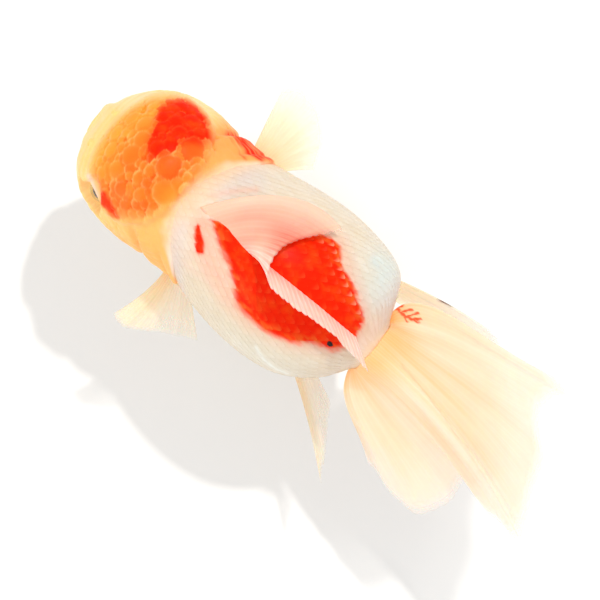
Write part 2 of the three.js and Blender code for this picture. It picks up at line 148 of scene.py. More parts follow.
def smooth(value, low, high):
    f = np.clip((value - low) / (high - low), 0, 1)
    return f * f * (3 - 2 * f)


def fade(value, low, high):
    return 1 - smooth(value, low, high)


def bell(value, width):
    return np.exp(-((value / width) ** 2))


def lattice_value(cells, seed):
    """Pseudo-random value from 0 to 1 for each whole-numbered cell."""
    mixed = cells @ np.array([127.1, 311.7, 74.7]) + seed * 19.19
    return np.abs(np.sin(mixed) * 43758.5453) % 1


def lumps(points, size, seed):
    """Smooth value noise from -1 to 1 with lumps of the given size, one number or one for each axis."""
    scaled = points / size
    cell = np.floor(scaled)
    f = scaled - cell
    f = f * f * (3 - 2 * f)
    total = np.zeros(len(points))
    for corner in np.ndindex(2, 2, 2):
        weight = np.prod(np.where(np.array(corner) == 1, f, 1 - f), axis=1)
        total += weight * lattice_value(cell + np.array(corner), seed)
    return 2 * total - 1


def drift(points, size, *seeds):
    """Lumps with one column for each seed."""
    return np.stack([lumps(points, size, seed) for seed in seeds], axis=1)


def catmull(p0, p1, p2, p3, f):
    """Smooth curve from p1 to p2, with p0 before them and p3 after."""
    a = 2 * p1
    b = p2 - p0
    c = 2 * p0 - 5 * p1 + 4 * p2 - p3
    d = 3 * p1 - p0 - 3 * p2 + p3
    return 0.5 * (a + b * f + c * f ** 2 + d * f ** 3)


def crossed(first, second):
    """Two rows of values spread over one grid."""
    return np.meshgrid(first, second, indexing="ij")


def from_outline(points, outline):
    """Signed distance in plan from a closed outline, positive inside."""
    corners = np.array(outline)
    ends = np.roll(corners, -1, axis=0)
    best = np.full(len(points), 1e9)
    inside = np.zeros(len(points), dtype=bool)
    x, y = points[:, 0], points[:, 1]
    for (ax, ay), (bx, by) in zip(corners, ends):
        dx, dy = bx - ax, by - ay
        f = np.clip(((x - ax) * dx + (y - ay) * dy) / (dx * dx + dy * dy), 0, 1)
        best = np.minimum(best, np.hypot(x - ax - f * dx, y - ay - f * dy))
        crosses = (ay > y) != (by > y)
        with np.errstate(divide="ignore", invalid="ignore"):
            inside ^= crosses & (x < ax + (y - ay) * dx / dy)
    return np.where(inside, best, -best)


def from_stroke(points, *path):
    """Distance from a line of straight strokes, in plan or in space as the path is given."""
    best = np.full(len(points), 1e9)
    for start, end in zip(np.array(path[:-1]), np.array(path[1:])):
        along = end - start
        offset = points[:, :len(start)] - start
        f = np.clip(offset @ along / (along @ along), 0, 1)
        best = np.minimum(best, np.linalg.norm(offset - f[:, None] * along, axis=1))
    return best


# ---------- Body surface ----------

def mirrored(row):
    """A section carried past the body's closed end: its sides change places."""
    x, left, right, top, bottom, widest = row
    return np.array([x, right, left, bottom, top, widest])


PADDED = np.vstack([mirrored(STATIONS[1]), STATIONS, mirrored(STATIONS[-2])])


def section(t):
    """Row of measures at station t, as in STATIONS."""
    i = np.clip(np.floor(t).astype(int), 0, TAIL_T - 1)
    f = (t - i)[..., None]
    return catmull(PADDED[i], PADDED[i + 1], PADDED[i + 2], PADDED[i + 3], f)


T_STEPS = np.linspace(0, TAIL_T, 4001)
X_STEPS = section(T_STEPS)[:, 0]


def station_of(x):
    return np.interp(x, X_STEPS, T_STEPS)


def signed_power(value, power):
    return np.sign(value) * np.abs(value) ** power


def body_point(t, a):
    """Points and outward directions of the bare body at stations t and angles a (0 = right side)."""
    s = section(t)
    power = np.where(np.sin(a) >= 0, UPPER_POWER, LOWER_POWER)
    rise = np.where(np.sin(a) >= 0, s[..., 3] - s[..., 5], s[..., 5] - s[..., 4])
    half = (s[..., 2] - s[..., 1]) / 2
    y = (s[..., 2] + s[..., 1]) / 2 + half * signed_power(np.cos(a), 2 / power)
    z = s[..., 5] + rise * signed_power(np.sin(a), 2 / power)
    out = np.stack([0 * a, np.cos(a) / np.maximum(half, 0.5), np.sin(a) / np.maximum(rise, 0.5)], axis=-1)
    out /= np.linalg.norm(out, axis=-1, keepdims=True)
    return np.stack([s[..., 0], y, z], axis=-1), out


def gill_edge(a):
    """X of the gill covers' rear edge."""
    side = np.abs(np.cos(a)) ** np.where(np.cos(a) > 0, *GILL_SWEEP)
    end = np.where(np.sin(a) > 0, GILL_TOP, GILL_BOTTOM)
    return end + (GILL_SIDE - end) * side


NAPE_X = STATIONS[NAPE_T][0]
AHEAD_STEP = 90.0  # X for each whole share w ahead of the gill edge


def head_place(w, a):
    """Station of the head's surface a share w of the way from snout to gill edge."""
    x = section(w * NAPE_T)[..., 0] + (gill_edge(a) - NAPE_X) * smooth(w, 0.45, 1)
    return station_of(x)


def trunk_place(w, a):
    """Station of the trunk's surface a share w of the way from gill edge to tail."""
    x = section(NAPE_T + np.maximum(w, 0) * (TAIL_T - NAPE_T))[..., 0] + AHEAD_STEP * np.minimum(w, 0)
    return station_of(x + (gill_edge(a) - NAPE_X) * fade(w, 0, 0.9))


def on_back(x, y):
    """Points of the bare body's upper surface above places in plan."""
    x, y = np.array(x, dtype=float), np.array(y, dtype=float)
    s = section(station_of(x))
    across = np.clip((y - (s[:, 1] + s[:, 2]) / 2) / ((s[:, 2] - s[:, 1]) / 2), -1, 1)
    z = s[:, 5] + (s[:, 3] - s[:, 5]) * (1 - np.abs(across) ** UPPER_POWER) ** (1 / UPPER_POWER)
    return np.stack([x, y, z], axis=1)


def around(points):
    """Angle of points round the body's axis."""
    return np.arctan2(points[:, 2] - AXIS_Z, points[:, 1] - AXIS_Y)


def to_side(points, centre, near, far):
    """Share by which points lie out from the body's axis towards the side where an eye's centre is."""
    return smooth((points[:, 1] - AXIS_Y) * np.sign(centre[1]), near, far)


def behind_gill(points):
    """Distance along X behind the gill covers' free edge."""
    return points[:, 0] - gill_edge(around(points))


# ---------- Head relief ----------

EYE_RADIUS = float(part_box("eye_left")[1][0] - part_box("eye_left")[0][0]) / MM / 2
EYE_AT = {
    side: (np.array(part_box(f"eye_{side}")[0]) + np.array(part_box(f"eye_{side}")[1])) / 2 / MM
    for side in ("left", "right")
}
EYE_LOOK = {"left": np.array([-0.42, -0.9, 0.07]), "right": np.array([-0.3, 0.93, 0.15])}
BROW_NOTCH = {"left": 1.0, "right": 0.0}
LID = {"left": 0.8, "right": 2.2}  # how far the upper rim of the socket stands out

# Large lumps of the crown from above, the ones on top first: x, y, radius, share of red.
CROWN_LUMPS = [
    (-29.0, 3.2, 4.0, 0.42), (-36.0, -8.0, 2.4, 0.34), (-33.4, 11.4, 2.4, 0.95), (-26.1, -1.8, 3.8, 0.0),
    (-27.5, 10.0, 4.0, 0.72), (-40.4, 4.5, 2.7, 0.0), (-42.3, 7.6, 2.8, 0.0), (-39.9, 0.0, 3.1, 0.05),
    (-32.7, -10.4, 1.9, 0.2), (-30.9, -6.2, 2.2, 0.12), (-40.5, -4.9, 2.7, 0.05), (-38.4, 17.1, 2.4, 1.0),
    (-32.8, 15.9, 2.8, 1.0), (-36.5, 13.3, 2.5, 1.0), (-45.3, -2.2, 2.4, 0.0), (-43.3, -7.9, 2.1, 0.0),
    (-29.3, -10.9, 1.8, 0.1), (-35.4, -11.5, 1.7, 0.3), (-29.0, 14.4, 2.2, 1.0), (-27.0, 17.3, 1.8, 1.0),
    (-35.2, 5.2, 2.4, 1.0), (-23.7, 11.6, 1.6, 0.35), (-22.9, 13.5, 1.4, 0.4), (-23.5, 7.2, 1.7, 0.1),
    (-24.1, 4.3, 1.5, 0.05), (-32.9, 0.1, 1.9, 0.2), (-31.6, -2.8, 1.7, 0.2), (-39.2, -11.1, 1.5, 0.1),
    (-46.5, 6.9, 2.3, 0.0), (-47.3, 1.8, 2.3, 0.0), (-40.0, 12.0, 2.0, 0.9), (-49.0, -4.4, 1.7, 0.0),
    (-45.9, -6.0, 1.7, 0.0),
]
LUMP_SEED = 11
LUMP_TRIES = 5200
LUMP_SPACING = 0.47  # least distance between two lumps, as a share of both radii
LUMP_CHUNK = 8000  # points worked out at a time, to save memory
NAPE_MIDDLE = (-21.5, 1.4)  # the lumps' free edges face away from here
RANK_FALL = 38.0  # distance from there over which the ranks fall off
CROWN_RADIUS = 15.0  # the crown's mean radius in plan


def crown_reach(points, power):
    """Distance in plan from the crown's middle, as a share of the way to its outline."""
    away = np.abs(points[:, :2] - CROWN_MIDDLE) / CROWN_HALF
    return (away[:, 0] ** power + away[:, 1] ** power) ** (1 / power)


def crown_share(points):
    """Share of the hood's large lumps."""
    return fade(crown_reach(points, CROWN_POWER), 0.9, 1.06) * smooth(points[:, 2], 86, 91)


def lump_list():
    """Centres, radii, ranks, tones and red shares of the head's lumps; a higher rank lies on top."""
    crown = np.array(CROWN_LUMPS)
    centres = on_back(crown[:, 0], crown[:, 1])
    radii = crown[:, 2]
    random = np.random.default_rng(LUMP_SEED)
    t = random.uniform(2.9, 9.2, LUMP_TRIES)
    a = random.uniform(math.radians(-60), math.radians(240), LUMP_TRIES)
    tries, _ = body_point(t, a)
    sizes = random.uniform(1.3, 2.5, LUMP_TRIES) * (1 + 0.3 * (1 - crown_share(tries)))
    for point, size in zip(tries, sizes):
        if (np.linalg.norm(centres - point, axis=1) / (size + radii)).min() > LUMP_SPACING:
            centres = np.vstack([centres, point])
            radii = np.append(radii, size)
    away = np.hypot(centres[:, 0] - NAPE_MIDDLE[0], centres[:, 1] - NAPE_MIDDLE[1])
    ranks = 0.9 * np.exp(-away / RANK_FALL) + random.uniform(-0.02, 0.02, len(radii))
    ranks[:len(crown)] += 0.05
    tones = random.uniform(0, 1, len(radii))
    drawn = smooth(from_outline(centres, CROWN_RED), -0.6, 1.2)
    reds = np.concatenate([crown[:, 3], drawn[len(crown):]])
    return centres, radii, ranks, tones, reds


def lump_field(points, lump_set):
    """For each point: height, a line of painted highlight inside the top lump's edge, painted shade beside a
    higher one, and the top lump's number, or -1 where there is none.
    """
    centres, radii, ranks = lump_set[:3]
    height, line, shade = np.zeros((3, len(points)))
    top = np.empty(len(points), dtype=int)
    for start in range(0, len(points), LUMP_CHUNK):
        part = slice(start, start + LUMP_CHUNK)
        wobble = 1 + 0.1 * lumps(points[part], 1.9, 21) + 0.05 * lumps(points[part], 0.9, 22)
        offset = points[part][:, None] - centres[None]
        d = np.linalg.norm(offset, axis=2) * wobble[:, None] / radii[None]
        dome = np.sqrt(np.clip(1 - d ** 2.6, 0, 1))
        order = np.where(d < 1, 4.5 * ranks[None] + dome, 0)
        first = order.argmax(axis=1)
        rows = np.arange(len(first))
        two = -np.partition(-order, 1, axis=1)[:, :2]
        valley = fade(two[:, 0] - two[:, 1], 0.02, 0.16)
        share = d[rows, first]
        on = share < 1
        edge = (1 - share) * radii[first]
        height[part] = on * (0.58 * dome[rows, first] + 0.42 * ranks[first])
        outward = points[part, :2] - NAPE_MIDDLE
        facing = (offset[rows, first, :2] * outward).sum(axis=1)
        facing /= radii[first] * np.linalg.norm(outward, axis=1) + 1e-6
        free = 0.12 + 0.88 * smooth(facing, -0.35, 0.5)
        # Painted highlight: a pale line just inside each lump's free edge, fainter in the valleys between
        # lumps.
        line[part] = on * np.maximum(free * (bell(edge - 0.28, 0.34) + 0.3 * bell(edge, 1.1)), 0.3 * valley)
        above = ranks[None] > ranks[first][:, None] + 0.01
        gap = np.where(above & (d > 1), (d - 1) * radii[None], 9.0).min(axis=1)
        shade[part] = on * bell(gap, 0.5)
        top[part] = np.where(on, first, -1)
    return height, line, shade, top


def brow_notch(points):
    """Share by which the hood draws back over an eye."""
    total = np.zeros(len(points))
    for side, centre in EYE_AT.items():
        d = np.hypot((points[:, 0] - centre[0] + 0.8) / 5.2, (points[:, 2] - centre[2] - 5.0) / 9.0)
        total += BROW_NOTCH[side] * to_side(points, centre, 5, 10) * fade(d, 0.45, 1.05)
    return total


def cheek_share(points):
    """Share of the smaller lumps on the cheeks and the face."""
    x, z = points[:, 0], points[:, 2]
    return smooth(z, 66, 75) * smooth(x, -53, -46) * fade(x, -22, -15)


def face_folds(points):
    """Soft concentric folds between the crown and the rim of the head, from the snout to the eyes."""
    x, z = points[:, 0], points[:, 2]
    away = (crown_reach(points, CROWN_POWER) - 1) * CROWN_RADIUS
    total = 0.8 * bell(away - 1.2, 0.5) + bell(away - 2.6, 0.55) + 0.8 * bell(away - 4.2, 0.6)
    return total * fade(x, -42, -35) * smooth(z, 84, 89)


def gill_plate(points):
    """Lift of the gill covers: a groove ahead of the plate, faint spokes, and a rolled margin."""
    x, z = points[:, 0], points[:, 2]
    gap = -behind_gill(points)
    level = smooth(z, 62, 68) * fade(z, 96, 103)
    plate = GILL_LIFT * fade(gap, 8.4, 12.0)
    groove = 1.1 * bell(gap - GILL_GROOVE, 1.2)
    margin = 0.55 * bell(gap - GILL_MARGIN, 0.8)
    fan = np.arctan2(z - 92, x + 29)
    spokes = 0.09 * np.sin(fan * 34 + 1.5 * lumps(points, 4.0, 15)) * bell(gap - 6, 3.5)
    seam = 0.6 * bell(z - 69.5 + 0.03 * (x + 17) ** 2, 0.7) * fade(gap, 9, 12)
    return level * (plate - groove - margin + spokes - seam)


def cheek_folds(points):
    """Soft folds of skin curving round below and behind each eye."""
    total = np.zeros(len(points))
    for centre in EYE_AT.values():
        dx, dz = points[:, 0] - centre[0], points[:, 2] - centre[2]
        d = np.hypot(dx, 1.15 * dz) + 0.5 * lumps(points, 5.0, 16)
        folds = 0.8 * bell(d - 6.6, 0.55) + 0.7 * bell(d - 9.2, 0.7) + 0.5 * bell(d - 12, 0.7)
        total += to_side(points, centre, 4, 9) * smooth(dx - 0.8 * dz, -1, 5) * folds
    return total


def cheek_shade(points, shade):
    """Painted shade: deeper colour in the grooves of cheeks and gill covers."""
    z = points[:, 2]
    gap = -behind_gill(points)
    groove = 0.8 * bell(gap - GILL_GROOVE, 1.0) + 0.4 * bell(gap - GILL_MARGIN, 0.7)
    folds = 0.3 * cheek_folds(points) + 0.4 * shade * cheek_share(points)
    return fade(z, 88, 95) * np.maximum(0.45 * groove * smooth(z, 62, 68), folds)


def head_lift(points, height):
    """Height of hood, cheeks and gill covers over the bare body."""
    notch = brow_notch(points)
    crown = crown_share(points) * (1 - notch)
    lift = crown * (HOOD_SWELL + BUMP_HEIGHT * height)
    lift += (1 - crown) * (cheek_share(points) * CHEEK_BUMP * height + gill_plate(points))
    lift += 0.35 * face_folds(points) - 0.45 * (1 - crown) * cheek_folds(points)
    lift -= (1 - crown) * bell(from_stroke(points, *SNOUT_FOLD), 1.0)
    return lift - 2.6 * notch * smooth(points[:, 2], 89, 94)


EYE_NEAR = 8.0  # the sockets change nothing further than this from an eye's axis


def shape_eye_hollows(points):
    """Sinks a socket for each eye, with a soft raised rim round the eyeball and a fuller upper lid."""
    for side, centre in EYE_AT.items():
        look = EYE_LOOK[side] / np.linalg.norm(EYE_LOOK[side])
        offset = points - centre
        height = offset @ look
        flat = offset - height[:, None] * look
        radial = np.linalg.norm(flat, axis=1)
        near = (height > 0) & (radial < EYE_NEAR)
        r = radial[near]
        lid = LID[side] * smooth(flat[near, 2] / np.maximum(r, 0.1), -0.3, 0.8)
        rim = 1.5 + lid + 0.45 * bell(r - 4.3, 0.6) - (2.6 + lid) * fade(r, 2.6, 3.7)
        weight = fade(r, 4.4, 6.4)
        points[near] += (weight * (rim - height[near]))[:, None] * look
    return points


def grid_normals(grid):
    """Outward normals of a closed tube's grid of points."""
    along = np.gradient(grid, axis=0)
    across = np.roll(grid, -1, axis=1) - np.roll(grid, 1, axis=1)
    normal = np.cross(across, along)
    return normal / np.maximum(np.linalg.norm(normal, axis=2, keepdims=True), 1e-9)


NOSTRIL_AT = [(-51.8, FACE_MIDDLE_Y - 5.4), (-51.8, FACE_MIDDLE_Y + 5.4)]


def face_detail(points):
    """Height along the surface's normal of lips, mouth slit and nostrils, and how deep each hollow is, for
    painted shade in it.
    """
    x, y, z = points.T
    off = np.abs(y - FACE_MIDDLE_Y)
    line = MOUTH_LEVEL - 0.07 * off ** 2
    front = fade(off, MOUTH_HALF_WIDTH - 1.6, MOUTH_HALF_WIDTH + 0.8) * fade(x, -53.2, -50.5)
    lips = 0.75 * bell(z - line - 1.2, 0.8) + 0.65 * bell(z - line + 1.15, 0.75)
    slit = bell(z - line, 0.34)
    fold = 0.45 * bell(z - line - 2.9, 0.5) + 0.4 * bell(z - line + 2.7, 0.5)
    pads = 0.8 * bell(off - 5.8, 2.6) * bell(z - 80, 6.5) * fade(x, -54.5, -50)
    swell = 1.05 * bell(y - 5.5, 2.2) * bell(z - 83, 8) * fade(x, -54.0, -50)
    height = pads + swell + front * (lips - 1.4 * slit - fold)
    # Painted shade in the mouth slit and the nostrils.
    pit = front * slit
    for centre in on_back(*zip(*NOSTRIL_AT)):
        d = np.linalg.norm(points - centre, axis=1)
        flap = bell(np.hypot(y - centre[1], z - centre[2] - 0.9), 0.75)
        height += 0.3 * bell(d - 1.25, 0.4) + 0.5 * flap - 0.9 * bell(d, 0.62)
        pit = np.maximum(pit, 0.8 * bell(d, 0.6))
    return height - SNOUT_SINK * fade(x, -55.9, -53), pit


# ---------- Markings, shared by skin, scales and fin bases ----------

# Outlines in plan, on the upper surface.
CROWN_RED = [
    (-42.7, 15.8), (-38.5, 20.9), (-33.6, 22.0), (-29.0, 20.2), (-24.6, 17.6), (-25.6, 14.7),
    (-28.8, 12.4), (-31.0, 10.0), (-31.8, 6.4), (-33.2, 3.4), (-35.2, 1.6), (-37.4, 3.0),
    (-38.8, 6.6), (-40.6, 10.2), (-42.0, 13.0),
]
SADDLE_RED = [
    (-12.6, -0.4), (-5.3, -4.6), (0.0, -7.2), (4.4, -10.6), (8.1, -13.7), (12.0, -14.5), (18.0, -15.0),
    (26.4, -12.8), (30.4, -9.4), (36.2, -7.6), (38.2, -4.8), (39.2, -1.0), (39.1, 0.4), (38.0, 4.0),
    (35.3, 7.4), (28.7, 10.4), (23.8, 13.0), (20.0, 16.2), (16.8, 16.8), (12.5, 16.0), (5.0, 12.0),
    (-2.0, 6.5), (-9.0, 1.4),
]
SADDLE_BLUSH = [
    (-17.0, -1.0), (-13.5, -7.0), (-5.0, -12.0), (4.0, -16.5), (14.0, -17.6), (26.0, -15.0),
    (37.0, -9.0), (42.0, -2.0), (41.5, 5.0), (36.0, 9.5), (27.0, 14.5), (20.0, 19.5), (10.0, 19.0),
    (0.0, 12.5), (-9.0, 5.0),
]
SADDLE_FRONT = -16.0  # the saddle's and the bar's colours stop here
CHEEK_STRIP = ((-39.2, -14.2), (-36.2, -15.2), (-33.0, -15.4))
EYE_SILVER = ((-46.0, -12.3), (-43.6, -13.8), (-41.2, -15.2))
# Side outline (x, z) of the red on the right gill cover.
GILL_PATCH = [
    (-25.0, 94.8), (-21.5, 98.0), (-16.5, 98.8), (-12.6, 97.0), (-10.4, 92.0), (-9.4, 85.0), (-10.4, 79.5),
    (-14.0, 77.6), (-17.4, 79.8), (-20.8, 84.6), (-23.8, 90.4),
]
SHOULDER_BAR = ((-13.6, -3.9), (-11.2, -6.3), (-9.2, -8.5))
DORSAL_LINE = ((-16.3, 4.3), (-12.0, 9.8), (-7.6, 13.9))
FLANK_GLINT = ((19.4, -19.8), (23.6, -21.2), (27.6, -21.2), (31.0, -20.2))
# Painted sheen: glossy bluish-white spots on the right rear.
PEARL_SHEEN_SPOTS = [(35.6, 17.6, 1.7, 1.0), (39.6, 14.8, 1.9, 1.0), (30.0, 19.6, 1.8, 0.6)]  # x, y, width, share
PIGMENT_SPOT = (34.9, -6.2)
PIGMENT_SIZE = (0.95, 0.72)
PIGMENT_DOME = 0.05


def on_upper(points):
    """Share by which points lie on the body's upper surface."""
    return smooth(points[:, 2], 92, 98)


def on_nape(points):
    """Share of the softer border that the head's colours have over the nape."""
    return smooth(points[:, 2], 96, 105)


def saddle_marks(points):
    """Red of the saddle and the shoulder bar, how near the saddle's right border is, and its warm rim."""
    fine = drift(points, np.array([2.6, 0.7, 0.9]), 3, 4)
    inside = from_outline(points[:, :2] + 0.4 * drift(points, 3.4, 1, 2) + 0.45 * fine, SADDLE_RED)
    left = points[:, 1] < -1.5
    red = smooth(inside, np.where(left, -1.2, -0.5), np.where(left, 1.3, 0.8))
    half = 0.1 + 0.75 * smooth(-points[:, 1], 3.6, 7.4)  # the bar widens down the flank
    bar = fade(from_stroke(points + 0.15 * fine[:, :1], *SHOULDER_BAR) - half, 0, 0.9)
    red = np.maximum(red, bar) * on_upper(points)
    edge = bell(inside - 1.0, 1.8) * smooth(points[:, 1], 2, 6) * smooth(points[:, 0], 12, 17)
    warm = bell(inside - 0.8, 1.7) * smooth(lumps(points, np.array([1.5, 0.8, 1.0]), 23), -0.3, 0.5)
    return red, edge, warm


def body_marks(points):
    """Shares of blush, pearly tint with painted sheen and shade, painted lilac shade, silver, glint and
    bright streaks on the trunk.
    """
    x, y, z = points.T
    upper = on_upper(points)
    grain = lumps(points, np.array([7.0, 1.1, 1.6]), 14)
    blush = smooth(from_outline(points, SADDLE_BLUSH), -2.5, 3.5) * upper * 0.5
    behind = 0.34 * bell(x - 42, 4.5) * smooth(z, 84, 96) * (1 - 0.6 * smooth(-y, 0, 5))
    blush = np.maximum(blush, behind) * (1 - 0.5 * smooth(-y, 3, 8) * smooth(x, 36, 40))
    blush += 0.3 * bell(from_stroke(points, *SHOULDER_BAR), 2.2) * upper
    blush += 0.32 * bell(x + 5, 8) * bell(y + 12, 3.6) * upper * (0.6 + 0.5 * grain)
    blush += 0.35 * bell(from_stroke(points, *DORSAL_LINE), 1.0) * upper
    # Pearly cool tint: partly the whites' own, partly painted shade, with painted sheen at the spots.
    pearl = smooth(y, 4, 12) * bell(x - 36, 8) * bell(z - 98, 10)
    pearl += 0.35 * smooth(-y, 8, 16) * bell(x - 22, 16) * bell(z - 96, 8)
    for spot_x, spot_y, width, share in PEARL_SHEEN_SPOTS:
        pearl += share * bell(np.hypot(x - spot_x, y - spot_y), width) * (z > 88)
    # Painted shade: a cool grey-lilac on the right shoulder and behind the left gill cover.
    lilac = 0.9 * smooth(y, 3, 8) * bell(x + 12.5, 6) * bell(z - 104, 7)
    lilac *= 0.8 + 0.3 * lumps(points, 3.4, 1)
    lilac = np.maximum(lilac, 0.85 * smooth(-y, 2, 7) * bell(behind_gill(points) - 3.0, 3.2) * (z > 85))
    return {
        "glint": 0.6 * bell(from_stroke(points, *FLANK_GLINT), 0.5) * (z > 85),
        "silver": 0.62 * bell(from_stroke(points, *EYE_SILVER), 0.8) * (z > 86),
        "blush": np.clip(blush, 0, 1), "pearl": np.clip(pearl, 0, 1), "lilac": np.clip(lilac, 0, 1),
        # Less streak on the left flank leaves it creamier: painted warm shade on the side away from the key
        # light.
        "streak": (0.5 + 0.5 * grain) * (1 - 0.6 * smooth(-y, 9, 19)),
    }


def hood_colour(points):
    """Share of the hood's own colour: it fades out before the rim of the head."""
    return fade(crown_reach(points, HOOD_POWER), 0.8, 1.08)


def gill_red(points):
    """Feathery red along the outer edge of the right gill cover."""
    x, y, z = points.T
    fan = np.arctan2(z - 95, x + 33) * 20
    spread = np.hypot(z - 95, x + 33)
    streaks = lumps(np.stack([fan / 0.9, spread / 6, 0 * x], axis=1), 1.0, 5)
    inside = from_outline(points[:, ::2] + 0.9 * drift(points, 3.0, 17), GILL_PATCH)
    patch = smooth(inside + 1.1 * streaks, -0.8, 1.8)
    return patch * smooth(y, 10, 14) * (0.55 + 0.45 * smooth(streaks, -0.75, 0.1))


def head_marks(points, top_red):
    """Shares of red, deep orange, amber and pale yellow on the head."""
    x, y, z = points.T
    wander = drift(points, 3.0, 6, 7)
    moved = points[:, :2] + 0.5 * wander
    red = 0.5 * smooth(from_outline(moved, CROWN_RED), -1.8, 1.6) * smooth(z, 86, 91) + top_red * 0.58
    red *= fade(crown_reach(points, CROWN_POWER), 1.0, 1.1)
    strip = fade(from_stroke(moved, *CHEEK_STRIP) + 0.5 * lumps(points, 1.3, 19), 0.6, 1.9)
    strip *= 0.92 - 0.3 * smooth(x, -36.5, -32.5)
    red = np.maximum(red, strip * smooth(z + 1.2 * wander[:, 0], 94.5, 98.0))
    red = np.maximum(red, gill_red(points))
    deep = smooth(x, -50, -37) - 0.5 * smooth(x, -28.5, -21.5)
    deep -= 0.4 * smooth(y, 4, 12) * fade(x, -42, -35)
    amber = smooth(x, -44, -22) * (0.6 + 0.4 * smooth(y, -8, 8)) + 0.1 * wander[:, 0]
    amber += 0.25 * smooth(y, 6, 14) * smooth(x, -24, -14)
    amber -= 0.5 * smooth(y, 9, 16) * fade(x, -31, -23) * smooth(x, -52, -44)
    pale = 0.75 * smooth(y, 4, 13) * fade(x, -36, -26) + 0.35 * fade(x, -54, -48)
    pale += 0.4 * smooth(-y, 9, 14) * fade(x, -43, -35)
    return {
        "head_red": np.clip(red, 0, 1), "deep": np.clip(deep, 0, 1), "amber": np.clip(amber, 0, 1),
        "pale": np.clip(pale, 0, 1) * smooth(z, 70, 84),
    }


def head_end(points):
    """Share of the head's colours: they stop at the gill covers' edge and fade out over the nape."""
    soft = on_nape(points)
    gap = behind_gill(points) + soft * (0.9 * lumps(points, 3.0, 12) + 0.3)
    return fade(gap, 0.7 - 3.2 * soft, 2.0 + 0.5 * soft)


def all_marks(points, crown=0.0, top_red=0.0, relief_highlight=0.0, tone=0.5, pit=0.0):
    """Every mask that the fish's colour is mixed from, for points anywhere on head or body."""
    x, y = points[:, 0], points[:, 1]
    head = head_end(points)
    masks = body_marks(points) | head_marks(points, top_red)
    head_red = masks.pop("head_red") * head
    body_red, edge, warm = saddle_marks(points)
    peach = bell(behind_gill(points) - 1.2, 3.4) * (0.55 + 0.45 * on_nape(points))
    peach *= 1 - 0.45 * smooth(-y, 2, 9)
    return masks | {
        "red": np.maximum(body_red * (x > SADDLE_FRONT), head_red),
        "peach": np.clip(0.85 * peach + 0.9 * smooth(x, 42, 45.5), 0, 1),
        "rim": head, "hood": head * crown, "relief_highlight": relief_highlight, "tone": tone, "pit": pit,
        "edge": edge, "warm": warm * (x > SADDLE_FRONT),
    }


# ---------- Meshes ----------

def add_mesh(name, points, faces, masks, material, uv=None):
    """Rides the part's root with a mesh of points in millimetres; masks give a value for each point."""
    mesh = bpy.data.meshes.new(name)
    mesh.from_pydata((points * MM).tolist(), [], faces)
    mesh.shade_smooth()
    for mask, values in masks.items():
        held = mesh.attributes.new(mask, "FLOAT", "POINT")
        held.data.foreach_set("value", np.full(len(points), values, dtype=np.float32))
    if uv is not None:
        layer = mesh.uv_layers.new(name="OFBake")
        layer.data.foreach_set("uv", np.asarray(uv, dtype=np.float32).ravel())
    mesh.materials.append(material)
    piece = put_in_scene(name, mesh)
    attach(piece, "root")
    return piece


def tube_faces(rings, count):
    """Faces and face-corner UVs of a closed body from rings of points, with a point at each end."""
    at = lambda ring, k: 1 + ring * count + k % count
    last = 1 + rings * count
    sides = [(k, k / count, (k + 1) / count) for k in range(count)]
    faces, uv = [], []
    for k, left, right in sides:
        faces.append((0, at(0, k), at(0, k + 1)))
        uv.append(((left + right) / 2, 0, left, 1 / rings, right, 1 / rings))
    for ring in range(rings - 1):
        low, high = (ring + 1) / (rings + 1), (ring + 2) / (rings + 1)
        for k, left, right in sides:
            faces.append((at(ring, k), at(ring + 1, k), at(ring + 1, k + 1), at(ring, k + 1)))
            uv.append((left, low, left, high, right, high, right, low))
    for k, left, right in sides:
        faces.append((last, at(rings - 1, k + 1), at(rings - 1, k)))
        uv.append(((left + right) / 2, 1, right, 1 - 1 / rings, left, 1 - 1 / rings))
    return faces, np.concatenate(uv)


def sheet_faces(rows, columns):
    """Faces of a thin closed sheet: its front grid of points, then its back one, joined round the rim."""
    per = rows * columns
    i, j = crossed(np.arange(rows - 1), np.arange(columns - 1))
    a = (i * columns + j).ravel()
    b, c, d = a + columns, a + columns + 1, a + 1
    front = np.stack([a, b, c, d], axis=1)
    back = np.stack([a, d, c, b], axis=1) + per
    i = np.arange(rows - 1) * columns
    low = np.stack([i, i + per, i + columns + per, i + columns], axis=1)
    i = i + columns - 1
    high = np.stack([i + columns, i + columns + per, i + per, i], axis=1)
    j = np.arange(columns - 1)
    base = np.stack([j + 1, j + 1 + per, j + per, j], axis=1)
    j = j + (rows - 1) * columns
    tip = np.stack([j, j + per, j + 1 + per, j + 1], axis=1)
    return np.concatenate([front, back, low, high, base, tip])


# ---------- Skin ----------

# Profile of the gill covers' free edge: distance along X from the edge, and share of the head's height,
# or depth below the bare body where negative.
GILL_LIP = [
    (-0.85, 1.0), (-0.5, 0.97), (-0.2, 0.86), (0.05, 0.66), (0.22, 0.4), (0.3, 0.12), (0.34, -0.12),
    (0.62, -0.34),
]
RING_EASE = 0.9  # the rings on each side of the edge's profile draw back this far along X


def skin_rings():
    """Bare points and outward directions of each ring, and its share of the head."""
    a = np.linspace(0, TURN, SKIN_AROUND, endpoint=False)
    rings = []
    for w in np.linspace(0.006, 1, HEAD_RINGS):
        x = section(head_place(np.full_like(a, w), a))[:, 0]
        rings.append((x - RING_EASE * smooth(w, 0.8, 1), np.ones_like(a)))
    folded = fade(body_point(station_of(gill_edge(a)), a)[0][:, 2], 94, 104)
    for k, (shift, share) in enumerate(GILL_LIP):
        part = (k + 1) / len(GILL_LIP)
        x = gill_edge(a) + shift * folded + (-0.85 + 1.6 * part) * (1 - folded)
        rings.append((x, share * folded + (1 - part) * (1 - folded)))
    for w in np.linspace(0, 0.9985, TRUNK_RINGS):
        x = section(trunk_place(np.full_like(a, w), a))[:, 0]
        rings.append((x + RING_EASE * fade(w, 0, 0.06), np.zeros_like(a)))
    points, outs = zip(*[body_point(station_of(x), a) for x, _ in rings])
    return np.array(points), np.array(outs), np.array([share for _, share in rings])


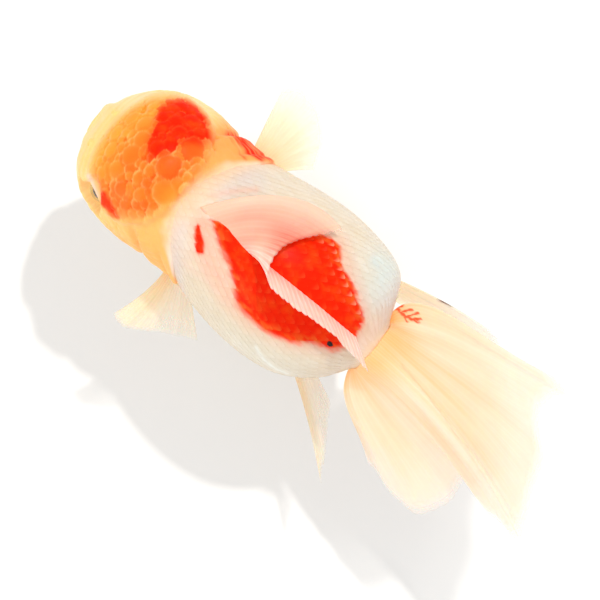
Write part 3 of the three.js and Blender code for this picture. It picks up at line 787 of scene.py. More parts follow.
def make_skin(material):
    """One skin over head, trunk and tail stalk, with its relief, its masks and its replaced nodes."""
    bare, outs, shares = skin_rings()
    rings = len(bare)
    flat = bare.reshape(-1, 3)
    lump_set = lump_list()
    height, line, shade, top = lump_field(flat, lump_set)
    crown = crown_share(flat) * (1 - brow_notch(flat))
    on_head = np.clip(shares, 0, 1)
    raised = np.maximum(on_head, crown.reshape(rings, -1))
    lift = head_lift(flat, height).reshape(rings, -1) * raised - COAT * (1 - raised)
    lift = np.where(shares < 0, shares, lift)
    points = bare + outs * lift[..., None]
    points = shape_eye_hollows(points.reshape(-1, 3)).reshape(rings, -1, 3)
    middle = points.mean(axis=1, keepdims=True)
    points = middle + (points - middle) * (1 - STALK_DRAW * smooth(bare[..., :1], 44.8, 49.5))
    detail, pit = face_detail(points.reshape(-1, 3))
    detail = detail.reshape(rings, -1)
    detail[HEAD_RINGS:] = 0
    points = points + grid_normals(points) * detail[..., None]
    flat = points.reshape(-1, 3)
    own = hood_colour(flat)
    centres, _, _, tones, reds = lump_set
    lump_own, lump_red, lump_tone = [
        np.where(top < 0, off, values[top])
        for off, values in ((own, hood_colour(centres)), (0, reds), (0.5, tones))
    ]
    shown = np.clip((0.6 * own + 0.4 * lump_own) * smooth(flat[:, 2], 84, 92), 0, 1)
    broken = 0.45 + 0.55 * smooth(lumps(flat, 2.6, 18), -0.5, 0.5)
    # Painted highlight along the lumps' edges, the cheeks' lumps and the face's fold crests.
    relief_highlight = 0.78 * line * broken * np.maximum(crown, cheek_share(flat) * 0.3)
    relief_highlight = np.maximum(relief_highlight, 0.6 * face_folds(flat))
    # Painted shade: hollows of mouth and nostrils, beside higher lumps, and in the grooves of cheeks and
    # gill covers.
    hollow_shade = np.maximum(pit, 0.55 * shade * crown * shown)
    hollow_shade = np.maximum(hollow_shade, np.clip(cheek_shade(flat, shade), 0, 1) * on_head.ravel())
    every = np.vstack([points[0].mean(axis=0), flat, points[-1].mean(axis=0)])
    drawn = (shown, lump_red * smooth(shown, 0.1, 0.6), relief_highlight, lump_tone, hollow_shade)
    marks = all_marks(every, *[np.concatenate([values[:1], values, values[-1:]]) for values in drawn])
    faces, uv = tube_faces(rings, SKIN_AROUND)
    skin = add_mesh("skin", every, faces, marks, material, uv)
    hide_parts("hood", "snout", "lower_jaw", "throat", "cheek_left", "cheek_right",
                "gill_cover_left", "gill_cover_right", "trunk", "tail_stalk")


# ---------- Scales ----------

SCALE_COLUMNS = 30
SCALE_FIRST = -0.022  # the first column's place: its roots lie under the gill covers
SCALE_LAST = 0.83
# Rows of scales round the body, from the gill edge towards the tail: end of the stretch, rows.
SCALE_ROWS = [(0.55, 58), (0.68, 50), (0.76, 36), (1.0, 24)]
SCALE_LENGTH = 2.0  # of a scale, in columns
SCALE_HALF_WIDTH = 0.64  # of a scale, in rows
SCALE_THICKNESS = 0.12  # enough to close the gap under each tip
SCALE_TIP = 0.01  # depth of the tips below the solids
SCALE_GRID = (8, 9)
SCALE_JITTER = 0.04  # random shift, in columns and in rows
ROOT_SHARE = 0.12  # share by which a scale takes its colour from its root
SHARP_ANGLE = math.radians(40)


def scale_columns():
    """Shares w of the way to the tail whose side points are evenly spaced."""
    w = np.linspace(SCALE_FIRST, SCALE_LAST, 400)
    x = section(trunk_place(w, np.zeros_like(w)))[:, 0]
    return np.interp(np.linspace(x[0], x[-1], SCALE_COLUMNS), x, w)


def scale_roots():
    """Column start, column step, angle and angle step of every scale."""
    columns = scale_columns()
    steps = np.append(np.diff(columns), columns[-1] - columns[-2])
    roots = []
    for k, (w, step) in enumerate(zip(columns, steps)):
        rows = next(count for end, count in SCALE_ROWS if w <= end)
        turn = TURN / rows
        for j in range(rows):
            roots.append((w - step * 0.5, step, (j + 0.5 * (k % 2) + 0.25) * turn, turn))
    return np.array(roots)


def scale_plate():
    """One scale's outline grid: share along, share across, and the lift that rounds it."""
    along, across = crossed(np.linspace(0, 1, SCALE_GRID[0]), np.linspace(-1, 1, SCALE_GRID[1]))
    narrowing = 1 - 0.5 * np.clip((along - 0.45) / 0.55, 0, 1) ** 3
    u = along * (1 - 0.26 * across ** 2)
    v = across * narrowing * (0.8 + 0.2 * smooth(along, 0, 0.3))
    lift = -COAT + (COAT - SCALE_TIP) * along ** 0.55 - 0.04 * across ** 2
    return u, v, lift


def make_scales(name, roots, material, seed):
    """One mesh of solid plates on the skin, one plate for each root."""
    random = np.random.default_rng(seed)
    u, v, lift = scale_plate()
    count = len(roots)
    start, step, angle, turn = roots.T[:, :, None, None]
    slide, swing = random.uniform(-SCALE_JITTER, SCALE_JITTER, (count, 2)).T[:, :, None, None]
    w = start + step * (u * SCALE_LENGTH + slide)
    a = angle + turn * (v * SCALE_HALF_WIDTH + swing)
    point, out = body_point(trunk_place(w, a), a)
    lift = (lift + random.uniform(-0.012, 0.008, (count, 1, 1)))[..., None]
    sheets = [(point + out * height).reshape(count, -1, 3) for height in (lift, lift - SCALE_THICKNESS)]
    points = np.concatenate(sheets, axis=1)
    each = points.shape[1]
    root = point[:, 1, SCALE_GRID[1] // 2]
    seen_at = (1 - ROOT_SHARE) * points + ROOT_SHARE * root[:, None]
    masks = all_marks(seen_at.reshape(-1, 3), tone=np.repeat(random.uniform(0, 1, count), each))
    masks["reach"] = np.tile(u.ravel(), 2 * count)
    one = sheet_faces(*SCALE_GRID)
    faces = (one + each * np.arange(count)[:, None, None]).reshape(-1, 4).tolist()
    uv = scale_patches(roots, u, v, one)
    scales = add_mesh(name, points.reshape(-1, 3), faces, masks, material, uv)
    scales.data.set_sharp_from_angle(angle=SHARP_ANGLE)


BAKE_PATCH = 0.003


def scale_patches(roots, u, v, one):
    """A small UV patch for each scale, at its root's place on the body's own unwrap."""
    place = np.stack([(roots[:, 2] / TURN) % 1, np.clip(roots[:, 0], 0, 1)], axis=1) * 0.98 + 0.01
    local = np.stack([v.ravel(), u.ravel() * 2 - 1], axis=1) * BAKE_PATCH / 2
    corners = np.concatenate([local, local])[one.ravel()]
    return (place[:, None] + corners[None]).reshape(-1, 2)


def make_pigment_spot(material):
    """The single black spot at the rear of the saddle: a thin lens on the scales."""
    rings, sides = 5, 28
    angles = np.linspace(0, TURN, sides, endpoint=False)
    wobble = 1 + 0.07 * np.sin(3 * angles + 1) + 0.04 * np.sin(5 * angles)
    points = []
    for k in range(1, rings + 1):
        share = k / rings
        x = PIGMENT_SPOT[0] + PIGMENT_SIZE[0] * share * wobble * np.cos(angles)
        y = PIGMENT_SPOT[1] + PIGMENT_SIZE[1] * share * wobble * np.sin(angles)
        ring = on_back(x, y)
        ring[:, 2] += PIGMENT_DOME * (1 - share ** 2) - 0.1 * (share == 1)
        points.append(ring)
    under = points[-1] - np.array([0, 0, 0.25])
    middle = on_back([PIGMENT_SPOT[0]], [PIGMENT_SPOT[1]])
    every = np.vstack([middle + [0, 0, PIGMENT_DOME], *points, under, middle - [0, 0, 0.35]])
    faces, _ = tube_faces(rings + 1, sides)
    spot = add_mesh("pigment_spot", every, [face[::-1] for face in faces], {}, material)


# ---------- Eyes ----------

def turned(profile, centre, look, sides):
    """Closed body turned round an eye's axis from rows of radius and height, and where its points lie."""
    look = Vector(look).normalized()
    across = look.cross(Vector((1, 0, 0))).normalized()
    angles = np.linspace(0, TURN, sides, endpoint=False)
    ring = np.outer(np.cos(angles), across) + np.outer(np.sin(angles), look.cross(across))
    rows = np.array(profile)
    radius = np.concatenate([[0], np.repeat(rows[1:-1, 0], sides), [0]])
    height = np.concatenate([rows[:1, 1], np.repeat(rows[1:-1, 1], sides), rows[-1:, 1]])
    turn = np.concatenate([[0], np.tile(angles / TURN, len(rows) - 2), [0]])
    around_axis = np.vstack([ring[:1], np.tile(ring, (len(rows) - 2, 1)), ring[:1]])
    points = centre + radius[:, None] * around_axis + height[:, None] * np.array(look)
    return points, radius, height, turn


IRIS_RADIUS = 3.1
PUPIL_RADIUS = 1.65
IRIS_STEP = 0.12  # the iris lies this far inside its own rim
EYE_SIDES = 72


def eyeball_profile():
    r = EYE_RADIUS - 0.12
    edge = math.asin(IRIS_RADIUS / r)
    rows = [(r * math.sin(b), r * math.cos(b)) for b in np.linspace(math.pi, edge, 26)]
    edge_height = rows[-1][1]
    outer = IRIS_RADIUS - IRIS_STEP
    rows += [(outer, edge_height - 0.02)]
    for f in np.linspace(0.1, 1, 9):
        radius = outer + (PUPIL_RADIUS - outer) * f
        rows.append((radius, edge_height - 0.1 * math.sin(math.pi * f) + 0.3 * f))
    pupil_height = rows[-1][1] - 0.08
    rows += [(PUPIL_RADIUS - 0.06, pupil_height)]
    dome = np.linspace(0.12, math.pi / 2, 9)
    return rows + [(PUPIL_RADIUS * math.cos(b), pupil_height + 0.6 * math.sin(b)) for b in dome]


def cornea_profile():
    edge = math.asin((IRIS_RADIUS + 0.15) / EYE_RADIUS)
    inner, outer = [
        [(r * math.sin(b), r * math.cos(b)) for b in np.linspace(0, edge, 12)]
        for r in (EYE_RADIUS - 0.1, EYE_RADIUS)
    ]
    return inner + outer[::-1]


def make_eye(side, ball_material, cornea_material):
    points, radius, height, turn = turned(eyeball_profile(), EYE_AT[side], EYE_LOOK[side], EYE_SIDES)
    faces, _ = tube_faces((len(points) - 2) // EYE_SIDES, EYE_SIDES)
    front = smooth(height, 0, 1.0)
    pupil = front * fade(radius, PUPIL_RADIUS - 0.1, PUPIL_RADIUS + 0.02)
    iris = front * fade(radius, IRIS_RADIUS - 0.25, IRIS_RADIUS - 0.05)
    masks = {"pupil": pupil, "iris": iris, "radial": radius / IRIS_RADIUS, "turn": turn}
    ball = add_mesh(f"eyeball_{side}", points, faces, masks, ball_material)
    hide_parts(f"eye_{side}")
    points, *_ = turned(cornea_profile(), EYE_AT[side], EYE_LOOK[side], EYE_SIDES)
    faces, _ = tube_faces((len(points) - 2) // EYE_SIDES, EYE_SIDES)
    cornea = add_mesh(f"cornea_{side}", points, faces, {}, cornea_material)


# ---------- Fins ----------

# Guiding rays in order across each fin: the base, one or two bends, and the tip.
FIN_RAYS = {
    "dorsal_fin": [
        [[-16.2, 0.5, 109.2], [0.4, 25, 117], [18.2, 20, 111.5]],
        [[-11.4, -0.3, 109.6], [-1.8, 16.4, 119.5], [15.4, 16.4, 114]],
        [[-6.4, -0.8, 110.4], [-1, 7.6, 121], [10.8, 10.6, 117.2]],
        [[-1.5, -1, 111.5], [1.6, 2.8, 121.5], [8.4, 4.6, 122]],
        [[3.5, -0.6, 112.4], [6, -0.2, 122], [11, -3.4, 126.6]],
        [[10, -0.2, 113], [12.6, -1.2, 122], [18, -4.8, 127]],
        [[18, 0, 112], [20.4, -1.2, 119], [25.6, -4.3, 123]],
        [[26, 0, 109.4], [28.4, -1, 115], [33.4, -3.8, 118]],
        [[33, 0, 105.4], [35.4, -1.2, 110], [41, -4.8, 111.8]],
        [[38.6, 0, 101.8], [42, -1.8, 106], [48.2, -5.6, 106.2]],
    ],
    "pectoral_fin_right": [
        [[-15.6, 18.8, 70.5], [-18.6, 30.5, 70.4], [-21.2, 42.2, 66]],
        [[-14, 19, 69.2], [-15.8, 33, 70], [-16.6, 45.2, 65.4]],
        [[-12.4, 19, 68], [-10.6, 32.5, 69], [-9.2, 43.6, 65]],
        [[-11, 19, 66.8], [-6.6, 30, 67.4], [-3.2, 37.8, 64.4]],
        [[-10, 18.8, 65.8], [-4.8, 26, 65.8], [0.4, 29.6, 63.6]],
    ],
    "pectoral_fin_left": [
        [[-15.4, -15.4, 70.5], [-12.6, -24, 70.4], [-18.6, -39.4, 65]],
        [[-13.8, -15.6, 69.2], [-10.4, -26, 69.6], [-13, -40, 64]],
        [[-12.2, -15.8, 68], [-7.4, -25, 68.4], [-5.6, -35.4, 63.4]],
        [[-10.8, -15.9, 66.8], [-4.4, -24, 67], [0.6, -32.2, 63]],
        [[-9.8, -15.8, 65.6], [-2.4, -22.6, 65.4], [5.4, -29.8, 62.6]],
    ],
    "pelvic_fin_right": [
        [[12.5, 11, 55.6], [44, 24.6, 54], [70, 26, 60.5]],
        [[14, 10.6, 54.4], [44, 22.4, 51.5], [74.4, 24, 58.5]],
        [[15.5, 10.2, 53.6], [42, 19.6, 48.5], [66.5, 20.4, 53]],
        [[17, 9.8, 53.4], [38, 16, 46], [54, 16.4, 47.5]],
    ],
    "pelvic_fin_left": [
        [[12.5, -9, 55.6], [34, -17.8, 52], [60, -40.4, 50]],
        [[14, -8.8, 54.4], [37, -18.6, 50], [57.4, -36.4, 47.4]],
        [[15.5, -8.6, 53.6], [38, -17.4, 47], [52.4, -27.6, 44.4]],
        [[17, -8.4, 53.4], [36, -14.6, 45], [46.4, -19.4, 42.4]],
    ],
    "anal_fin_right": [
        [[31, 3.4, 60], [38, 6.6, 56], [52, 10, 53.6]],
        [[34.5, 3.6, 63.6], [42, 6.4, 60], [57, 9.4, 58.6]],
        [[38, 3.4, 69], [45, 5.8, 66], [56.6, 8, 65]],
    ],
    "anal_fin_left": [
        [[31, -2.2, 60], [38, -5.6, 56], [52, -9.6, 53.6]],
        [[34.5, -2.4, 63.6], [42, -5.4, 60], [57, -9, 58.6]],
        [[38, -2.2, 69], [45, -4.8, 66], [56.6, -7.6, 65]],
    ],
}

# The tail fin is one web over both lobes: rays from its lower right border over the ridge to the lower left.
TAIL_RAYS = [
    [[44, 6.2, 83.2], [38.6, 25, 77.4], [63, 20, 70], [91.6, 27.6, 61.6]],
    [[44.4, 7.4, 85.8], [44.6, 20.8, 79.6], [64.6, 19.6, 72.8], [97.4, 25.4, 64.5]],
    [[44.8, 7.9, 88.6], [53, 15.4, 82.6], [70, 17.2, 77.6], [94.4, 20.8, 70.6]],
    [[45, 7.7, 92.4], [58.8, 11.4, 87.8], [76.5, 14.1, 84.2], [94.2, 15.9, 76.6]],
    [[45, 6.4, 96], [61, 8, 92.4], [81, 8.8, 90], [101, 7.2, 81.8]],
    [[45, 4.3, 98.6], [62, 4.4, 96.6], [84, 3.6, 95], [105.8, -2.2, 86.6]],
    [[45.2, 1.8, 99.9], [62, 1.2, 99.6], [84, -1.6, 99], [109.9, -12.4, 90.6]],
    [[45.2, -0.8, 99.9], [62, -0.6, 99.2], [84, -3.4, 98.4], [110.0, -14.4, 90]],
    [[45, -3.2, 98.6], [61, -3.2, 95.8], [82, -5.6, 94], [109, -16.6, 86.6]],
    [[45, -5.3, 96], [60, -5.4, 91.6], [78, -7.6, 89.4], [101.4, -14.8, 81.6]],
    [[45, -6.6, 92.4], [58.8, -7.1, 87.4], [73.8, -8.8, 84.9], [90.2, -11.8, 78]],
    [[44.8, -6.8, 88.6], [52, -12, 82.6], [68, -13.8, 78], [90.8, -20.6, 70.6]],
    [[44.4, -6.3, 85.8], [47, -16.6, 79], [63, -17.4, 73.6], [85.4, -28.4, 65.4]],
    [[44, -5.4, 84.2], [44.6, -18.6, 77.6], [59.4, -18, 71.4], [76, -29.2, 63.6]],
    [[43.8, -4.4, 83], [43.4, -19, 77], [56, -18, 70], [66, -26.2, 64]],
]
TAIL_NODES = ("tail_lower_right", "tail_upper_right", "tail_upper_left", "tail_lower_left")

# For each kind of fin: rays, steps along, steps across per ray, notch between ray tips, ripple height,
# rays to a ripple, and ridge height of the rays.
FIN_KINDS = {
    "dorsal": (36, 48, 7, 0.05, 0.12, 4.3, 0.22),
    "pectoral": (17, 50, 8, 0.01, 0.22, 4.3, 0.13),
    "pelvic": (9, 60, 8, 0.02, 0.3, 4.3, 0.16),
    "anal": (8, 34, 8, 0.03, 0.2, 4.3, 0.2),
    "tail": (46, 84, 6, 0.006, 0.8, 8.5, 0.07),
}
FIN_BASE_THICKNESS = 0.9
FIN_MEMBRANE = 0.26
FIN_STEP = 0.004  # of u and v, across which a fin's normals are taken


def fin_place(rays, u, v):
    """Points of a fin's middle surface, u from base to tip and v across the guiding rays."""
    guides = np.array(rays, dtype=float)
    guides = np.concatenate([guides[:1], guides, guides[-1:]])
    position = v * (len(rays) - 1)
    i = np.clip(np.floor(position).astype(int), 0, len(rays) - 2)
    f = (position - i)[..., None, None]
    mixed = catmull(guides[i], guides[i + 1], guides[i + 2], guides[i + 3], f)
    degree = mixed.shape[-2] - 1
    point = np.zeros(u.shape + (3,))
    for part in range(degree + 1):
        weight = math.comb(degree, part) * u ** part * (1 - u) ** (degree - part)
        point += weight[..., None] * mixed[..., part, :]
    return point


def ray_strength(across, u):
    """Height share of the fin's rays: each one forks into two halfway out and again near the tip."""
    phase = across % 1 - 0.5
    fork = 0.17 * smooth(u, 0.42, 0.75)
    second = 0.08 * smooth(u, 0.72, 0.98)
    width = 0.15 - 0.06 * smooth(u, 0.4, 0.8) - 0.03 * smooth(u, 0.7, 1)
    total = np.zeros_like(u)
    for side in (-1, 1):
        for half in (-1, 1):
            total = np.maximum(total, bell(phase - side * fork - half * second, width))
    return total


def make_fin(name, guides, replaced, material):
    """A thin webbed sheet with forking rays, ripples and a notched edge."""
    kind = name.split("_")[0]
    rays, steps, per_ray, notch, ripple, ripple_rays, ridge = FIN_KINDS[kind]
    u, v = crossed(np.linspace(0, 1, steps + 1), np.linspace(0, 1, rays * per_ray + 1))
    across = v * rays
    between = np.abs(np.sin(math.pi * across)) ** 0.8
    seed = sum(ord(letter) for letter in name)
    ragged = 0.5 + 0.5 * np.sin(across.round() * 2.4 + seed)
    rear = smooth(v, 0.3, 0.42) if kind == "dorsal" else 1 + 0 * v
    notch = notch * (0.3 + 0.7 * rear)
    ridge = ridge * (0.04 + 0.96 * rear)
    ripple = ripple * (0.5 + 0.5 * rear)
    reach = u * (1 - notch * (1 - between) - 0.4 * notch * ragged)
    middle = fin_place(guides, reach, v)
    along = fin_place(guides, np.minimum(reach + FIN_STEP, 1), v) - fin_place(guides, reach - FIN_STEP, v)
    side = fin_place(guides, reach, np.minimum(v + FIN_STEP, 1))
    side -= fin_place(guides, reach, np.maximum(v - FIN_STEP, 0))
    normal = np.cross(along, side)
    normal /= np.maximum(np.linalg.norm(normal, axis=-1, keepdims=True), 1e-9)
    wave = np.sin(TURN * (across / ripple_rays + 0.35 * reach) + seed)
    wave += 0.5 * np.sin(TURN * (across * 2.05 / ripple_rays - 0.6 * reach))
    middle = middle + normal * (ripple * smooth(reach, 0.15, 1) * wave)[..., None]
    ray = ray_strength(across, reach)
    root = fade(reach, 0.02, 0.22)
    half = 0.5 * (FIN_MEMBRANE + (FIN_BASE_THICKNESS - FIN_MEMBRANE) * root)
    half = half * (1 - 0.45 * reach) + 0.5 * ridge * ray * (1 - 0.75 * reach) * (1 - root)
    edge = np.minimum(np.minimum(v, 1 - v) * rays * 2.5, (1 - u) * 12)
    half = (half * np.clip(0.12 + edge, 0, 1))[..., None]
    points = np.concatenate([(middle + normal * h).reshape(-1, 3) for h in (half, -half)])
    plane = np.stack([across.ravel() / 3.1, reach.ravel() * 1.6, 0 * u.ravel()], axis=1)
    streaks = 0.6 * lumps(plane, 1.0, seed) + 0.4 * lumps(plane * [3.3, 1.7, 1], 1.0, seed + 1)
    # The fold mask gives soft streaks of painted highlight, for the light along the fins' folds.
    masks = {"along": reach, "ray": ray, "joint": reach * steps / 2, "fold": 0.5 + 0.5 * streaks}
    masks["gleam"] = 0.08 * ray
    masks["pink"] = masks["clear"] = 0 * v
    if kind == "dorsal":
        masks["gleam"] = ray * (0.03 + 0.5 * rear) + 0.3 * rear
        masks["pink"] = dorsal_pink(v, reach, ray, streaks.reshape(u.shape))
    if name.endswith("fin_left"):
        masks["clear"] = smooth(v, 0.15, 0.6)
    masks = {mask: np.tile(values.ravel(), 2) for mask, values in masks.items()} | fin_marks(name, points)
    faces = sheet_faces(*u.shape).tolist()
    fin = add_mesh(name + "_web", points, faces, masks, material, sheet_uv(*u.shape))
    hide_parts(*replaced)


def dorsal_pink(v, u, ray, streaks):
    """Pink on the dorsal fin: behind its cream front border, at its trailing fringe and between the rear
    rays.
    """
    flop = smooth(v, 0.04, 0.16) * fade(v, 0.3, 0.4)
    body = flop * (0.72 + 0.5 * streaks) * (0.6 + 0.4 * smooth(u, 0.05, 0.3))
    fringe = smooth(v, 0.16, 0.26) * fade(v, 0.4, 0.46) * smooth(u, 0.6, 0.95)
    rear = smooth(v, 0.34, 0.42) * (0.2 + 0.12 * streaks) * (1 - 0.8 * ray)
    return np.clip(1.1 * body + 0.4 * fringe * (1 - ray) + rear, 0, 1)


# Feathery red branches on the tail fin's lower right base, the thicker one first.
BRANCHES = [
    ((42.2, 13.4), (46.2, 13.2), (50.6, 14.0)),
    ((43.4, 13.4), (44.4, 15.2)),
    ((45.2, 13.3), (47.2, 15.9)),
    ((47.0, 13.4), (49.2, 16.2)),
    ((48.8, 13.7), (50.6, 15.2)),
    ((46.4, 13.2), (48.2, 12.2)),
]
BRANCH_WIDTHS = [0.34] + [0.26] * 5
# Painted shade: a faint dark line in the tail's fold beside its ridge.
FOLD_SHADE_LINE = ((54.0, 1.8), (58.0, 1.2), (66.8, -0.7), (76.5, -3.3), (84.0, -5.0))
LEFT_SMUDGE = ((5.2, -26.2), (6.2, -27.6))
RIGHT_DASH = ((52.4, 23.6), (56.0, 24.4))
RIGHT_FLECK = ((65.6, 20.6), (68.8, 20.7))


def fin_marks(name, points):
    """Red and dark pigment on the fins, and a faint line of painted shade in the tail's fold."""
    red = dark = np.zeros(len(points))
    if name == "tail":
        moved = points[:, :2] + 0.3 * drift(points, 0.9, 9, 10)
        for path, width in zip(BRANCHES, BRANCH_WIDTHS):
            red = np.maximum(red, fade(from_stroke(moved, *path), width * 0.6, width * 1.7))
        red *= points[:, 2] > 70
        # Painted shade along the tail's fold.
        red = np.maximum(red, 0.15 * bell(from_stroke(moved, *FOLD_SHADE_LINE), 0.24) * (points[:, 2] > 90))
    if name == "pectoral_fin_left":
        red = 0.7 * bell(from_stroke(points, *LEFT_SMUDGE), 0.5)
    if name == "pelvic_fin_right":
        dark = bell(from_stroke(points, *RIGHT_DASH), 0.4)
        dark = np.maximum(dark, 0.5 * bell(from_stroke(points, *RIGHT_FLECK), 0.35))
    return {"red": np.clip(red, 0, 1), "dark": dark}


def sheet_uv(rows, columns):
    """The fin's front and back side by side, and its rim in a narrow strip."""
    u, v = crossed(np.linspace(0.01, 0.93, rows), np.linspace(0.01, 0.485, columns))
    plane = np.stack([v, u], axis=-1).reshape(-1, 2)
    uv = np.concatenate([plane, plane + np.array([0.505, 0])])[sheet_faces(rows, columns)]
    sides = 2 * (rows - 1) * (columns - 1)
    count = len(uv) - sides
    left = 0.01 + 0.98 * np.arange(count) / count
    right = left + 0.98 / count
    low, high = left * 0 + 0.95, left * 0 + 0.98
    uv[sides:] = np.stack([left, low, left, high, right, high, right, low], axis=1).reshape(-1, 4, 2)
    return uv.reshape(-1, 2)


# ---------- Materials ----------

class Shader:
    """Short calls for building one material's nodes."""

    def __init__(self, name):
        self.material = bpy.data.materials.new(name)
        self.material.use_nodes = True
        self.tree = self.material.node_tree
        self.main = self.tree.nodes["Principled BSDF"]

    def fill(self, node, inputs):
        """Links each input to another node's output, or gives it a plain value."""
        for key, value in inputs.items():
            if isinstance(value, bpy.types.NodeSocket):
                self.tree.links.new(value, node.inputs[key])
            else:
                node.inputs[key].default_value = value

    def node(self, kind, inputs, **settings):
        made = self.tree.nodes.new("ShaderNode" + kind)
        for key, value in settings.items():
            setattr(made, key, value)
        self.fill(made, inputs)
        return made

    def mask(self, name):
        return self.node("Attribute", {}, attribute_name=name).outputs["Fac"]

    def math(self, operation, *values):
        return self.node("Math", dict(enumerate(values)), operation=operation).outputs[0]

    def times(self, first, second):
        return self.math("MULTIPLY", first, second)

    def mix(self, share, first, second, blend="MIX"):
        inputs = {0: share, 6: first, 7: second}
        return self.node("Mix", inputs, data_type="RGBA", blend_type=blend).outputs[2]

    def layers(self, colour, **masks):
        """Lays colours over one another in order, each by the share of the mask it is named for."""
        for name, over in masks.items():
            colour = self.mix(self.mask(name), colour, over)
        return colour

    def texture(self, kind, output, **inputs):
        """Output of a texture, laid over the object's own coordinates if no others are given."""
        if "Vector" not in inputs:
            inputs["Vector"] = self.node("TexCoord", {}).outputs["Object"]
        return self.node("Tex" + kind, inputs).outputs[output]

    def noise(self, scale, detail):
        return self.texture("Noise", "Fac", Scale=scale, Detail=detail)

    def ramp(self, value, low, high):
        """Smooth step from 0 at low to 1 at high."""
        inputs = {"Value": value, "From Min": low, "From Max": high}
        return self.node("MapRange", inputs, interpolation_type="SMOOTHSTEP").outputs["Result"]

    def spread(self, value, low, high):
        """Value from 0 to 1 laid out from low to high."""
        return self.node("MapRange", {"Value": value, "To Min": low, "To Max": high}).outputs["Result"]

    def bump(self, height, strength, distance):
        inputs = {"Height": height, "Strength": strength, "Distance": distance}
        self.fill(self.main, {"Normal": self.node("Bump", inputs).outputs["Normal"]})

    def finish(self, **values):
        """Fills in the surface's own inputs, and gives the finished material."""
        self.fill(self.main, {key.replace("_", " "): value for key, value in values.items()})
        return self.material


CREAM = rgb(238, 213, 180)
WHITE = rgb(245, 225, 200)
# Pearly tint, partly painted shade and sheen.
PEARL_SHEEN_SHADE = rgb(229, 229, 216)
# Cool painted shade.
LILAC_SHADE = rgb(230, 211, 202)
BLUSH = rgb(252, 168, 138)
PEACH = rgb(250, 205, 164)
RIM_YELLOW = rgb(250, 202, 118)
RIM_PALE = rgb(252, 222, 164)
AMBER = rgb(248, 160, 82)
ORANGE_FRONT = rgb(246, 156, 48)
ORANGE_DEEP = rgb(242, 108, 20)
# Painted highlight on lump edges and fold crests.
HIGHLIGHT_PALE = rgb(255, 192, 112)
RED = rgb(255, 34, 2)
HOT = rgb(255, 84, 14)
# Painted highlight on lump edges within the red.
HIGHLIGHT_RED = rgb(252, 84, 34)
BORDER_ORANGE = rgb(248, 112, 40)
PIGMENT = rgb(26, 14, 12)
GLINT = rgb(255, 250, 236)
SILVER = rgb(224, 214, 206)
SCALE_SHEEN = rgb(255, 246, 236)
SCALE_ARC = rgb(255, 184, 146)
SCALE_HOT_TIP = rgb(255, 120, 60)
# Shares of red, green and blue that a colour is multiplied by.
# Painted shade in hollows and grooves.
SHADE_TINT = (0.94, 0.66, 0.5, 1)
MOTTLE_TINTS = (0.8, 0.76, 0.7, 1), (1.1, 1.1, 1.1, 1)
# Painted shade where each scale comes out from under the tip ahead.
TUCKED_SHADE_TINT = (0.9, 0.87, 0.84, 1)
TONE_TINTS = (0.95, 0.94, 0.93, 1), (1.03, 1.03, 1.03, 1)
FIN_TINTS = (0.9, 0.85, 0.78, 1), (1.06, 1.06, 1.06, 1)


def fish_colour(s):
    """Mixes the fish's colour from the masks, with mottling from noise."""
    mottle = s.noise(260, 4)
    broad = s.noise(90, 2)
    # The streaks' cream, heavier on the left flank, is partly painted warm shade.
    colour = s.mix(s.mask("streak"), CREAM, WHITE)
    # Painted shade in the lilac.
    # Painted sheen and shade in the pearly tint.
    colour = s.layers(colour, pearl=PEARL_SHEEN_SHADE, lilac=LILAC_SHADE, blush=BLUSH, peach=PEACH)
    rim = s.mix(s.times(s.mask("amber"), s.spread(broad, 0.75, 1.25)), RIM_YELLOW, AMBER)
    deep = s.times(s.mask("deep"), s.spread(broad, 0.7, 1.1))
    deep = s.math("ADD", deep, s.spread(s.mask("tone"), -0.15, 0.15))
    hood = s.mix(deep, ORANGE_FRONT, ORANGE_DEEP)
    colour = s.layers(colour, rim=s.layers(rim, pale=RIM_PALE), hood=hood)
    # Painted highlight: pale lines on lump edges and fold crests, redder over the red.
    line = s.times(s.mask("relief_highlight"), s.spread(mottle, 0.35, 0.95))
    colour = s.mix(line, colour, HIGHLIGHT_PALE)
    red = s.mix(s.times(s.ramp(mottle, 0.42, 0.8), 0.5), RED, HOT)
    red = s.mix(s.times(s.mask("warm"), 0.55), red, BORDER_ORANGE)
    red = s.mix(s.times(line, 0.8), red, HIGHLIGHT_RED)
    colour = s.layers(colour, red=red)
    # Painted shade in hollows and grooves.
    colour = s.layers(colour, pit=s.mix(0.9, colour, SHADE_TINT, "MULTIPLY"), silver=SILVER, glint=GLINT)
    return s.mix(0.14, colour, s.mix(mottle, *MOTTLE_TINTS), "MULTIPLY")


def shine(s):
    """Specular level of skin and scales: lower where they are red."""
    return s.spread(s.mask("red"), 0.15, 0.04)


def skin_material():
    s = Shader("skin_finish")
    pores = s.texture("Voronoi", "Distance", Scale=1100)
    s.bump(s.math("ADD", pores, s.noise(1500, 2)), 0.2, 0.0001)
    return s.finish(
        Base_Color=fish_colour(s), Specular_IOR_Level=shine(s),
        Roughness=s.spread(s.noise(400, 2), 0.34, 0.52),
        Subsurface_Weight=0.25, Subsurface_Scale=0.0014, Subsurface_Radius=(1.0, 0.35, 0.15))


